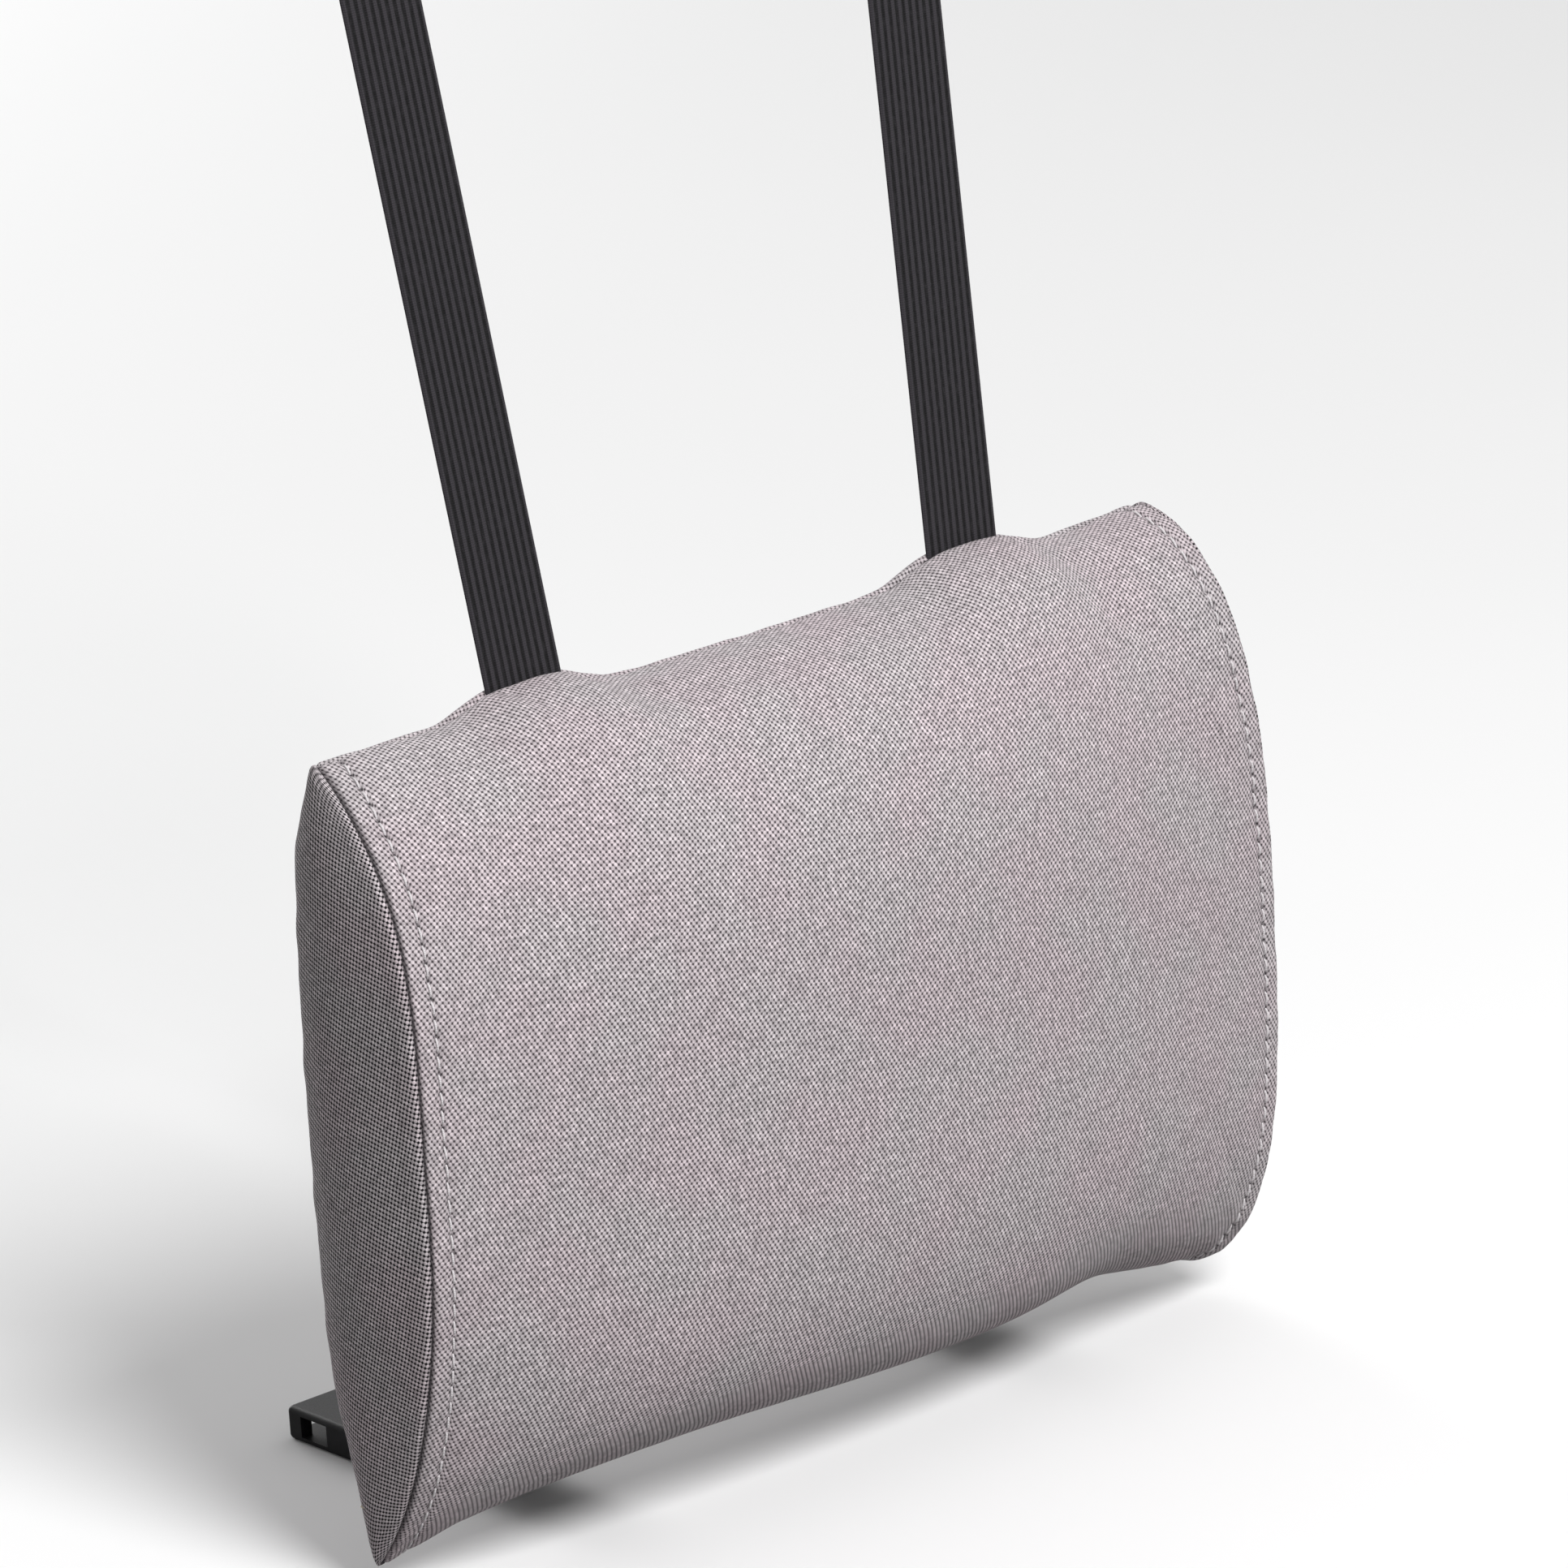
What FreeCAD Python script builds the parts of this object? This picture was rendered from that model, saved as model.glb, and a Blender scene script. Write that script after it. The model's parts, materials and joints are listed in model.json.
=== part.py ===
import FreeCAD, Part
import math
import os

from FreeCAD import Placement, Rotation, Vector

# Lumbar support cushion: a foam core in a zipped fabric cover, with two ribbed elastic straps.
# Frame, in millimetres: +X along the width, +Z up, the front faces -Y. The origin is the
# centre of the flat back face, which lies in the plane y = 0 and rests on a chair's backrest.

# ---- cushion -------------------------------------------------------------------------------
CUSHION_WIDTH = 300.0
CUSHION_HEIGHT = 220.0
SEAM_Y = -18.0              # plane of the top and bottom seams
BACK_BULGE = 20.5           # depth of the rounded back before its middle is flattened at y = 0
FRONT_BULGE_END = 37.0      # depth of the front at the two gussets
FRONT_BULGE_MIDDLE = 56.0   # depth of the front at mid width
# roundness of each side of the section, as two powers above and two below mid height
BACK_POWERS = ((5.0, 0.6), (2.6, 0.8))
FRONT_END_POWERS = ((4.0, 0.95), (2.2, 0.9))
FRONT_MIDDLE_POWERS = ((3.5, 0.5), (3.5, 0.5))
FILLING_POWER = 6           # how near its ends the front changes from one roundness to the other
COVER_THICKNESS = 1.5
LINER_THICKNESS = 1.0
LINER_INSET = (6.5, 9.0, 4.0)     # gap from the cover's outside: depth, height, width
CORE_GAP = 0.3
SECTION_POINTS = 17
LOFT_SECTIONS = 9

# ---- zip -----------------------------------------------------------------------------------
ZIP_Z = -84.0
COIL_LENGTH = 250.0
COIL_THICKNESS = 2.2
COIL_EDGES = (0.6, 3.2)           # from the zip's centre line
COIL_OUTER = -0.4                 # height of the coil's outer face along the zip's normal
TAPE_EDGES = (0.6, 9.0)
TAPE_THICKNESS = 0.6
TAPE_LENGTH = 262.0
WINDOW_HALF_WIDTH = 4.0
WINDOW_END = 4.0                  # the window's length beyond each end of the coil
STOP_LENGTH = 2.7
STOP_GAP = 0.3
SLIDER_X = 119.0                  # slider's place when the zip is closed
SLIDER_LENGTH = 10.6
SLIDER_PLATE = (-0.1, 1.2)        # faces of the top plate along the zip's normal
SLIDER_HALF_WIDTH = 3.9
SLIDER_CORNER = 1.2
SLIDER_BASE = (1.4, 0.3)          # faces of the bottom plate below the tapes
SLIDER_BASE_HALF_WIDTH = 3.4
SLIDER_POST = (1.5, 0.28)         # half length and half width between the coils
FLANGE_EDGE = 3.45
FLANGE_DEPTH = 2.2
FLANGE_INSET = 1.2                # each flange is shorter than the plate by this at each end
LUG_EDGES = (2.2, 3.2)
LUG_HALF_LENGTH = 1.3
LUG_RISE = 1.2                    # above the pull's pivot
PULL_PIVOT = 2.6                  # height of the pull's pivot along the zip's normal
PULL_ROD_RADIUS = 0.7
PULL_ROD_HALF = 2.7
PULL_PLAY = 0.1
PULL_BARREL = (1.3, 1.9)          # radius and half length
PULL_LENGTH = 21.0
PULL_HALF_WIDTH = 3.0
PULL_HALF_THICKNESS = 0.6
PULL_CORNER = 1.4
PULL_NECK_END = 6.0
PULL_TAB_START = 4.5
PULL_SLOT = (2.5, 7.5, 1.3)       # near and far edge from the free end, and half width

# ---- straps --------------------------------------------------------------------------------
STRAP_X = 76.0
STRAP_WIDTH = 25.0
STRAP_THICKNESS = 1.6
STRAP_SPREAD = math.radians(3.4)  # each upper strap leans outward as it rises
SEWN_TAIL = 7.0                   # length held inside the seam
LOOP_END = 1.5                    # straight length after the upper strap's loop
RETURN_GAP = 0.1                  # from the return layer's head to the folded end
EASE_RADIUS = 8.0                 # bends that bring the lower strap's end down onto its run
SEWN_END = 12.0                   # length of that end sewn to the run
SEWN_GAP = 0.2
TURN_RADIUS = 35.0                # bend over the backrest's shoulder, to the strap's middle
TURN_Y = 41.0
TURN_Z = 412.0

# ---- tri-glide adjuster (around the upper strap's vertical rear run) -----------------------
GLIDE_Z = 388.0                   # middle of its centre bar
GLIDE_HEIGHT = 22.0
GLIDE_RAIL = 2.6
GLIDE_RAIL_DEPTH = 2.2
GLIDE_ROUNDING = 0.8
GLIDE_BAR_RADIUS = 1.1
GLIDE_BAR_FLAT = 1.4              # height of the flat between the centre bar's two round edges
GLIDE_END_BAR = (0.2, 3.0)        # edges of the end bars from the frame's ends
GLIDE_END_BAR_DEPTH = 2.0
FOLD_RADIUS = 2.0                 # strap's middle round the centre bar
STRAP_PLAY = 0.3                  # gap between strap and any moving piece beside it
FOLD_LEG = 9.0

# ---- side-release buckle -------------------------------------------------------------------
BAR_RADIUS = 1.7
BAR_PLAY = 0.1
BAR_ROOT = 0.5                    # length of each bar's end inside its rails
LOOP_RADIUS = BAR_RADIUS + BAR_PLAY + STRAP_THICKNESS / 2
MALE_BAR_Z = 339.0
BUCKLE_INNER_WIDTH = 26.4         # opening for the strap beside the bar
MALE_WIDTH = 32.8
MALE_THICKNESS = 8.0
MALE_ROUNDING = 1.2
RAIL_INSET = 0.6                  # rails are thinner than the body by this on each face
BODY_START = 4.4                  # from the bar's axis to the solid part of either half
MALE_BODY_END = 18.0
GUIDE_HALF = (2.7, 1.9)           # the guide's half width and half thickness
GUIDE_ROOT = 2.0
GUIDE_SHORTER = 1.0               # the guide ends this far before the prongs
GUIDE_ROUNDING = 0.8
PRONG_PIVOT_X = 11.5
PRONG_ROOT_RADIUS = 2.0
PRONG_ROOT_PLAY = 0.35
PRONG_THICKNESS = 5.6
PRONG_LENGTH = 20.0               # from the root's axis to the tip
PRONG_END = MALE_BODY_END + PRONG_LENGTH
# the +X prong's outline from its root to its tip: distance from mid width, distance from the root
PRONG_OUTLINE = (
    (10.0, 0.0), (13.1, 0.0), (13.5, 7.5), (16.3, 8.2), (16.3, 12.5), (12.9, PRONG_LENGTH),
    (10.6, PRONG_LENGTH),
)
FEMALE_BAR_Y = 50.0
FEMALE_WIDTH = 37.0
FEMALE_THICKNESS = 9.6
FEMALE_ROUNDING = 1.6
FEMALE_END = 34.0
SOCKET_START = 12.0
SOCKET_SIZE = (29.6, 6.4)         # cavity's width and thickness
HOOK_WINDOW = (6.0, 17.0, 3.0)    # near and far edge from the open end, and half height

HALF_W = CUSHION_WIDTH / 2
HALF_H = CUSHION_HEIGHT / 2
REAR_RUN_Y = TURN_Y + TURN_RADIUS
LOWER_BEND = 2.2
LOWER_RUN_Z = -HALF_H - LOWER_BEND
OVERCUT = 1.0                     # how far a cutting shape runs past what it cuts


def box(x, y, z):
    """A box from three (low, high) pairs."""
    return Part.makeBox(x[1] - x[0], y[1] - y[0], z[1] - z[0], Vector(x[0], y[0], z[0]))


def rounded_box(x, y, z, radius):
    solid = box(x, y, z)
    return solid.makeFillet(radius, solid.Edges)


def cylinder(radius, start, axis, length):
    return Part.makeCylinder(radius, length, Vector(*start), Vector(*axis))


def prism(outline, normal):
    """Extrude a closed polygon along a vector."""
    points = [Vector(*p) for p in outline]
    return Part.Face(Part.makePolygon(points + points[:1])).extrude(Vector(*normal))


def mirrored(shape):
    return shape.mirror(Vector(0, 0, 0), Vector(1, 0, 0))


def export(name, shape):
    shape.exportStep("parts/%s.step" % name)


# ---- cushion -------------------------------------------------------------------------------
def bulge(fraction, powers):
    """Relative depth of the section at a relative height, 0 at both seams and 1 at mid height."""
    inner, outer = powers[0] if fraction > 0 else powers[1]
    return (1 - abs(fraction) ** inner) ** outer


def front_bulge(fraction, x):
    """The front is pinched at its ends, where the leaf-shaped gussets are, and full between them."""
    end = bulge(fraction, FRONT_END_POWERS)
    middle = bulge(fraction, FRONT_MIDDLE_POWERS)
    return middle + (end - middle) * abs(x / HALF_W) ** FILLING_POWER


def back_bulge(fraction, x):
    return bulge(fraction, BACK_POWERS)


def section_points(x, half_height, depth, shape):
    """Points of one rounded side of the section, from the top seam to the bottom seam."""
    points = []
    for i in range(SECTION_POINTS):
        fraction = math.cos(math.pi * i / (SECTION_POINTS - 1))
        y = depth * shape(fraction, x)
        points.append(Vector(x, SEAM_Y + y, half_height * fraction))
    return points


def section_wire(points):
    curve = Part.BSplineCurve()
    curve.interpolate(points)
    chord = Part.LineSegment(points[-1], points[0])
    return Part.Wire([curve.toShape(), chord.toShape()])


def front_depth(x):
    rise = 1 - (x / HALF_W) ** 2
    return FRONT_BULGE_END + (FRONT_BULGE_MIDDLE - FRONT_BULGE_END) * rise


def front_half(half_width, half_height, inset):
    """The crowned front, lofted through sections across the width."""
    wires = []
    for i in range(LOFT_SECTIONS):
        x = half_width * (2 * i / (LOFT_SECTIONS - 1) - 1)
        points = section_points(x, half_height, -(front_depth(x) - inset), front_bulge)
        wires.append(section_wire(points))
    return Part.makeLoft(wires, True, False)


def back_half(half_width, half_height, inset):
    """The rounded back, the same all along the width, with its middle cut flat."""
    points = section_points(-half_width, half_height, BACK_BULGE - inset, back_bulge)
    solid = Part.Face(section_wire(points)).extrude(Vector(2 * half_width, 0, 0))
    beyond = box((-HALF_W - OVERCUT, HALF_W + OVERCUT), (-inset, BACK_BULGE), (-HALF_H, HALF_H))
    return solid.cut(beyond)


def cushion_halves(inset_depth, inset_height, inset_width):
    half_width = HALF_W - inset_width
    half_height = HALF_H - inset_height
    return (front_half(half_width, half_height, inset_depth),
            back_half(half_width, half_height, inset_depth))


def whole_cushion(inset_depth, inset_height, inset_width):
    front, back = cushion_halves(inset_depth, inset_height, inset_width)
    return front.fuse(back).removeSplitter()


def strap_slots():
    """Gaps in the top and bottom seams where the four straps are sewn in."""
    slots = []
    half = STRAP_WIDTH / 2 + STRAP_PLAY
    depth = STRAP_THICKNESS / 2 + STRAP_PLAY
    low = HALF_H - SEWN_TAIL - OVERCUT
    high = HALF_H + OVERCUT
    for x in (-STRAP_X, STRAP_X):
        for z in ((low, high), (-high, -low)):
            slots.append(box((x - half, x + half), (SEAM_Y - depth, SEAM_Y + depth), z))
    return Part.makeCompound(slots)


def zip_placement():
    """Local frame of the zip: X along it, Y outward from the cover, Z up across the tapes."""
    fraction = ZIP_Z / HALF_H
    step = 0.001
    y = SEAM_Y + BACK_BULGE * bulge(fraction, BACK_POWERS)
    y_above = SEAM_Y + BACK_BULGE * bulge(fraction + step, BACK_POWERS)
    tilt = math.degrees(math.atan2(y_above - y, step * HALF_H))
    return Placement(Vector(0, y, ZIP_Z), Rotation(Vector(1, 0, 0), -tilt))


ZIP = zip_placement()


def on_zip(shape):
    shape = shape.copy()
    shape.Placement = ZIP.multiply(shape.Placement)
    return shape


def cover_panels():
    thickness = COVER_THICKNESS
    outer_front, outer_back = cushion_halves(0, 0, thickness)
    inner_front, inner_back = cushion_halves(thickness, thickness, 0)
    slots = strap_slots()
    front = outer_front.cut(inner_front).cut(slots)
    back = outer_back.cut(inner_back).cut(slots)
    reach = CUSHION_WIDTH
    above_zip = on_zip(box((-reach, reach), (-reach, reach), (0, reach)))
    half_window = COIL_LENGTH / 2 + WINDOW_END
    cover_depth = (-COIL_THICKNESS - 4 * thickness, COIL_THICKNESS + 4 * thickness)
    window = on_zip(box((-half_window, half_window), cover_depth, (-WINDOW_HALF_WIDTH, WINDOW_HALF_WIDTH)))
    export("front_panel", front)
    export("back_panel_upper", back.common(above_zip).cut(window))
    export("back_panel_lower", back.cut(above_zip).cut(window))


def gusset():
    """The leaf-shaped end panel on the +X side."""
    x = HALF_W - COVER_THICKNESS
    front = section_points(x, HALF_H, -front_depth(x), front_bulge)
    back = section_points(x, HALF_H, BACK_BULGE, back_bulge)
    leaf = Part.Face(section_wire(front)).extrude(Vector(COVER_THICKNESS, 0, 0))
    leaf = leaf.fuse(Part.Face(section_wire(back)).extrude(Vector(COVER_THICKNESS, 0, 0)))
    beyond = box((0, HALF_W + OVERCUT), (0, BACK_BULGE), (-HALF_H, HALF_H))
    return leaf.cut(beyond).removeSplitter()


def filling():
    depth, height, width = LINER_INSET
    inner = [inset + LINER_THICKNESS for inset in LINER_INSET]
    core = [inset + CORE_GAP for inset in inner]
    export("inner_liner", whole_cushion(depth, height, width).cut(whole_cushion(*inner)))
    export("foam_core", whole_cushion(*core))


# ---- zip -----------------------------------------------------------------------------------
def zip_strip(length, edges, bottom, thickness, upper):
    low, high = edges if upper else (-edges[1], -edges[0])
    return on_zip(box((-length / 2, length / 2), (bottom, bottom + thickness), (low, high)))


def zip_rows():
    coil_bottom = COIL_OUTER - COIL_THICKNESS
    tape_bottom = coil_bottom - TAPE_THICKNESS
    for side, upper in (("upper", True), ("lower", False)):
        tape = zip_strip(TAPE_LENGTH, TAPE_EDGES, tape_bottom, TAPE_THICKNESS, upper)
        coil = zip_strip(COIL_LENGTH, COIL_EDGES, coil_bottom, COIL_THICKNESS, upper)
        export("zip_tape_" + side, tape)
        export("zip_coil_" + side, coil)
    stops = []
    for x in (-COIL_LENGTH / 2 - STOP_LENGTH - STOP_GAP, COIL_LENGTH / 2 + STOP_GAP):
        reach = COIL_EDGES[1]
        stops.append(on_zip(box((x, x + STOP_LENGTH), (coil_bottom, COIL_OUTER), (-reach, reach))))
    export("zip_stops", Part.makeCompound(stops))


def round_corners(plate, radius):
    """Round the four edges of a plate that run along its thickness, Y."""
    upright = [e for e in plate.Edges if abs(e.tangentAt(e.FirstParameter).y) > 0.9]
    return plate.makeFillet(radius, upright)


def zip_slider():
    """Top and bottom plates joined by a thin post between the coils, with two lugs and a rod."""
    half = SLIDER_LENGTH / 2
    width, base = SLIDER_HALF_WIDTH, SLIDER_BASE_HALF_WIDTH
    tape_bottom = COIL_OUTER - COIL_THICKNESS - TAPE_THICKNESS
    base_low, base_high = (tape_bottom - depth for depth in SLIDER_BASE)
    top = round_corners(box((-half, half), SLIDER_PLATE, (-width, width)), SLIDER_CORNER)
    bottom = box((-half, half), (base_low, base_high), (-base, base))
    post_x, post_z = SLIDER_POST
    post = box((-post_x, post_x), (base_low, SLIDER_PLATE[1]), (-post_z, post_z))
    slider = top.fuse(bottom).fuse(post)
    flange_x = half - FLANGE_INSET
    for side in (-1, 1):
        lug_z = sorted(side * edge for edge in LUG_EDGES)
        flange_z = sorted((side * FLANGE_EDGE, side * width))
        lug = box((-LUG_HALF_LENGTH, LUG_HALF_LENGTH), (0, PULL_PIVOT + LUG_RISE), lug_z)
        slider = slider.fuse(lug)
        slider = slider.fuse(box((-flange_x, flange_x), (-FLANGE_DEPTH, 0), flange_z))
    rod_start = (0, PULL_PIVOT, -PULL_ROD_HALF)
    slider = slider.fuse(cylinder(PULL_ROD_RADIUS, rod_start, (0, 0, 1), 2 * PULL_ROD_HALF))
    return slider.removeSplitter()


def zip_pull():
    """A flat tab with an eye around the slider's rod, lying toward the zip's middle."""
    radius, half_barrel = PULL_BARREL
    near, far, slot_width = PULL_SLOT
    level = (PULL_PIVOT - PULL_HALF_THICKNESS, PULL_PIVOT + PULL_HALF_THICKNESS)
    barrel = cylinder(radius, (0, PULL_PIVOT, -half_barrel), (0, 0, 1), 2 * half_barrel)
    neck = box((-PULL_NECK_END, 0), level, (-half_barrel, half_barrel))
    tab = box((-PULL_LENGTH, -PULL_TAB_START), level, (-PULL_HALF_WIDTH, PULL_HALF_WIDTH))
    tab = round_corners(tab, PULL_CORNER)
    through = (0, 2 * PULL_PIVOT)
    slot = box((near - PULL_LENGTH, far - PULL_LENGTH), through, (-slot_width, slot_width))
    bore_start = (0, PULL_PIVOT, -half_barrel - OVERCUT)
    bore = cylinder(PULL_ROD_RADIUS + PULL_PLAY, bore_start, (0, 0, 1), 2 * (half_barrel + OVERCUT))
    return barrel.fuse(neck).fuse(tab).cut(slot).cut(bore).removeSplitter()


# ---- straps --------------------------------------------------------------------------------
def ribbon(start, heading, steps, x_middle, thickness=STRAP_THICKNESS, width=STRAP_WIDTH):
    """A flat strap whose edge view in YZ follows straight and curved steps.

    A step is a length, or (radius, turn in degrees) where a positive turn goes from +Y to +Z.
    """
    y, z = start
    angle = math.radians(heading)
    sides = {1: [], -1: []}

    def offset(py, pz, direction, side):
        reach = side * thickness / 2
        return Vector(0, py - reach * math.sin(direction), pz + reach * math.cos(direction))

    for step in steps:
        if isinstance(step, tuple):
            radius, turn = step[0], math.radians(step[1])
            sign = math.copysign(1, turn)
            cy = y - sign * radius * math.sin(angle)
            cz = z + sign * radius * math.cos(angle)
            places = []
            for part in (0, 0.5, 1):
                a = angle + turn * part
                places.append((cy + sign * radius * math.sin(a), cz - sign * radius * math.cos(a), a))
            for side in sides:
                points = [offset(*place, side) for place in places]
                sides[side].append(Part.Arc(*points).toShape())
            y, z, angle = places[-1]
        else:
            end = (y + step * math.cos(angle), z + step * math.sin(angle))
            for side in sides:
                line = Part.LineSegment(offset(y, z, angle, side), offset(*end, angle, side))
                sides[side].append(line.toShape())
            y, z = end
    first = [sides[side][0].Vertexes[0].Point for side in (1, -1)]
    last = [sides[side][-1].Vertexes[-1].Point for side in (1, -1)]
    caps = [Part.LineSegment(*first).toShape(), Part.LineSegment(*last).toShape()]
    wire = Part.Wire(Part.__sortEdges__(sides[1] + sides[-1] + caps))
    solid = Part.Face(wire).extrude(Vector(width, 0, 0))
    solid.translate(Vector(x_middle - width / 2, 0, 0))
    return solid


def tangent_lean():
    """Angle from vertical of the front run, which leaves the seam and meets the turn smoothly."""
    dy = TURN_Y - SEAM_Y
    dz = TURN_Z - HALF_H
    return math.atan2(dy, dz) - math.asin(TURN_RADIUS / math.hypot(dy, dz))


def rectangle(x_middle, y, z, lean):
    """The strap's cross-section at one point of the front run, square to its edge view."""
    half_w, half_t = STRAP_WIDTH / 2, STRAP_THICKNESS / 2
    corners = []
    for side_x, side_t in ((-1, -1), (1, -1), (1, 1), (-1, 1)):
        reach = side_t * half_t
        corner = Vector(x_middle + side_x * half_w, y + reach * math.cos(lean), z - reach * math.sin(lean))
        corners.append(corner)
    return Part.makePolygon(corners + corners[:1])


def strap_top_x():
    """Middle of the strap after the outward lean, on the +X side."""
    return STRAP_X + (TURN_Z - HALF_H) * math.tan(STRAP_SPREAD)


def upper_strap():
    """Sewn tail, taut front run, turn over the backrest and rear run round the buckle's bar."""
    lean = tangent_lean()
    top_y = TURN_Y - TURN_RADIUS * math.cos(lean)
    top_z = TURN_Z + TURN_RADIUS * math.sin(lean)
    tail = ribbon((SEAM_Y, HALF_H - SEWN_TAIL), 90, [SEWN_TAIL], STRAP_X)
    low = rectangle(STRAP_X, SEAM_Y, HALF_H, 0)
    high = rectangle(strap_top_x(), top_y, top_z, lean)
    front_run = Part.makeLoft([low, high], True, True)
    turn = 180 - math.degrees(lean)
    steps = [(TURN_RADIUS, -turn), TURN_Z - MALE_BAR_Z, (LOOP_RADIUS, 180), LOOP_END]
    rear_run = ribbon((top_y, top_z), 90 - math.degrees(lean), steps, strap_top_x())
    return tail.fuse(front_run).fuse(rear_run)


def return_line():
    """Foot and head of the return layer between the buckle's bar and the adjuster."""
    foot = Vector(0, REAR_RUN_Y + 2 * LOOP_RADIUS, MALE_BAR_Z + LOOP_END + RETURN_GAP)
    head = Vector(0, REAR_RUN_Y + STRAP_THICKNESS + STRAP_PLAY, GLIDE_Z - FOLD_LEG - RETURN_GAP)
    return foot, head


def strap_return():
    foot, head = return_line()
    rise = head - foot
    steps = [rise.Length]
    return ribbon((foot.y, foot.z), math.degrees(math.atan2(rise.z, rise.y)), steps, strap_top_x())


def strap_end_fold():
    """The strap's end, folded over the adjuster's centre bar."""
    y = REAR_RUN_Y + STRAP_THICKNESS + STRAP_PLAY
    steps = [FOLD_LEG, (FOLD_RADIUS, -180), FOLD_LEG]
    return ribbon((y, GLIDE_Z - FOLD_LEG), 90, steps, strap_top_x())


def triglide():
    """Frame with two outer bars in front of the strap and a rounded centre bar behind it."""
    x = strap_top_x()
    half_h = GLIDE_HEIGHT / 2
    half_in = BUCKLE_INNER_WIDTH / 2
    front = REAR_RUN_Y - STRAP_THICKNESS / 2 - STRAP_PLAY
    bar_y = REAR_RUN_Y + STRAP_THICKNESS + STRAP_PLAY + FOLD_RADIUS
    span = (x - half_in - BAR_ROOT, x + half_in + BAR_ROOT)
    radius = GLIDE_BAR_RADIUS
    foot_z = GLIDE_Z - GLIDE_BAR_FLAT
    solid = box(span, (bar_y - radius, bar_y + radius), (foot_z, GLIDE_Z))
    for z in (foot_z, GLIDE_Z):
        solid = solid.fuse(cylinder(radius, (span[0], bar_y, z), (1, 0, 0), span[1] - span[0]))
    for side in (-1, 1):
        edges = sorted((x + side * half_in, x + side * (half_in + GLIDE_RAIL)))
        height = (GLIDE_Z - half_h, GLIDE_Z + half_h)
        rail = rounded_box(edges, (front - GLIDE_RAIL_DEPTH, bar_y + radius), height, GLIDE_ROUNDING)
        bar_z = sorted(GLIDE_Z + side * (half_h - edge) for edge in GLIDE_END_BAR)
        end_bar = box(span, (front - GLIDE_END_BAR_DEPTH, front), bar_z)
        solid = solid.fuse(rail).fuse(end_bar)
    return solid.removeSplitter()


def lower_strap():
    """Sewn tail, level run backward, loop round the buckle's bar and end sewn down on the run."""
    start = (SEAM_Y, SEWN_TAIL - HALF_H)
    run = FEMALE_BAR_Y - SEAM_Y - LOWER_BEND
    drop = 2 * LOOP_RADIUS - STRAP_THICKNESS - SEWN_GAP
    turn = math.degrees(math.acos(1 - drop / (2 * EASE_RADIUS)))
    ease = [(EASE_RADIUS, turn), (EASE_RADIUS, -turn)]
    steps = [SEWN_TAIL, (LOWER_BEND, 90), run, (LOOP_RADIUS, 180), *ease, SEWN_END]
    return ribbon(start, -90, steps, STRAP_X)


# ---- side-release buckle -------------------------------------------------------------------
# Both halves are drawn around the bar's axis at the local origin, running along local -Z with
# their thickness along local Y.
def buckle_rails(width, thickness):
    """The bar that the strap loops round, and the two rails that carry it."""
    half_in = BUCKLE_INNER_WIDTH / 2
    half = width / 2
    reach = thickness / 2 - RAIL_INSET
    solid = cylinder(BAR_RADIUS, (-half_in - BAR_ROOT, 0, 0), (1, 0, 0), BUCKLE_INNER_WIDTH + 2 * BAR_ROOT)
    for side in (-1, 1):
        edges = sorted((side * half_in, side * half))
        rail = box(edges, (-reach, reach), (-BODY_START - BAR_ROOT, 0))
        head = cylinder(reach, (edges[0], 0, 0), (1, 0, 0), edges[1] - edges[0])
        solid = solid.fuse(rail).fuse(head)
    return solid


def buckle_male():
    half = MALE_WIDTH / 2
    thick = MALE_THICKNESS / 2
    body = rounded_box((-half, half), (-thick, thick), (-MALE_BODY_END, -BODY_START), MALE_ROUNDING)
    width, height = GUIDE_HALF
    guide_z = (GUIDE_SHORTER - PRONG_END, GUIDE_ROOT - MALE_BODY_END)
    guide = rounded_box((-width, width), (-height, height), guide_z, GUIDE_ROUNDING)
    solid = buckle_rails(MALE_WIDTH, MALE_THICKNESS).fuse(body).fuse(guide)
    radius = PRONG_ROOT_RADIUS + PRONG_ROOT_PLAY
    for side in (-1, 1):
        centre = (side * PRONG_PIVOT_X, -thick - OVERCUT, -MALE_BODY_END)
        solid = solid.cut(cylinder(radius, centre, (0, 1, 0), MALE_THICKNESS + 2 * OVERCUT))
    return solid.removeSplitter()


def buckle_prong():
    """The +X prong: a round root, a slim arm and a hooked head that bevels toward its tip."""
    thick = PRONG_THICKNESS / 2
    root_z = -MALE_BODY_END
    outline = [(x, -thick, root_z - reach) for x, reach in PRONG_OUTLINE]
    arm = prism(outline, (0, 2 * thick, 0))
    root = cylinder(PRONG_ROOT_RADIUS, (PRONG_PIVOT_X, -thick, root_z), (0, 1, 0), 2 * thick)
    return arm.fuse(root).removeSplitter()


def buckle_female():
    """A flat sleeve, open at the far end, with a side window for each prong's hook."""
    half = FEMALE_WIDTH / 2
    thick = FEMALE_THICKNESS / 2
    body = rounded_box((-half, half), (-thick, thick), (-FEMALE_END, -BODY_START), FEMALE_ROUNDING)
    solid = buckle_rails(FEMALE_WIDTH, MALE_THICKNESS).fuse(body)
    width, height = SOCKET_SIZE
    socket_z = (-FEMALE_END - OVERCUT, -SOCKET_START)
    socket = box((-width / 2, width / 2), (-height / 2, height / 2), socket_z)
    solid = solid.cut(socket)
    # with the halves pushed home, the hooks stand in these windows
    near, far, rise = HOOK_WINDOW
    across = (-half - OVERCUT, half + OVERCUT)
    window = box(across, (-rise, rise), (near - FEMALE_END, far - FEMALE_END))
    return solid.cut(window).removeSplitter()


def place_male(shape):
    shape = shape.copy()
    shape.translate(Vector(strap_top_x(), REAR_RUN_Y + LOOP_RADIUS, MALE_BAR_Z))
    return shape


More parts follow.
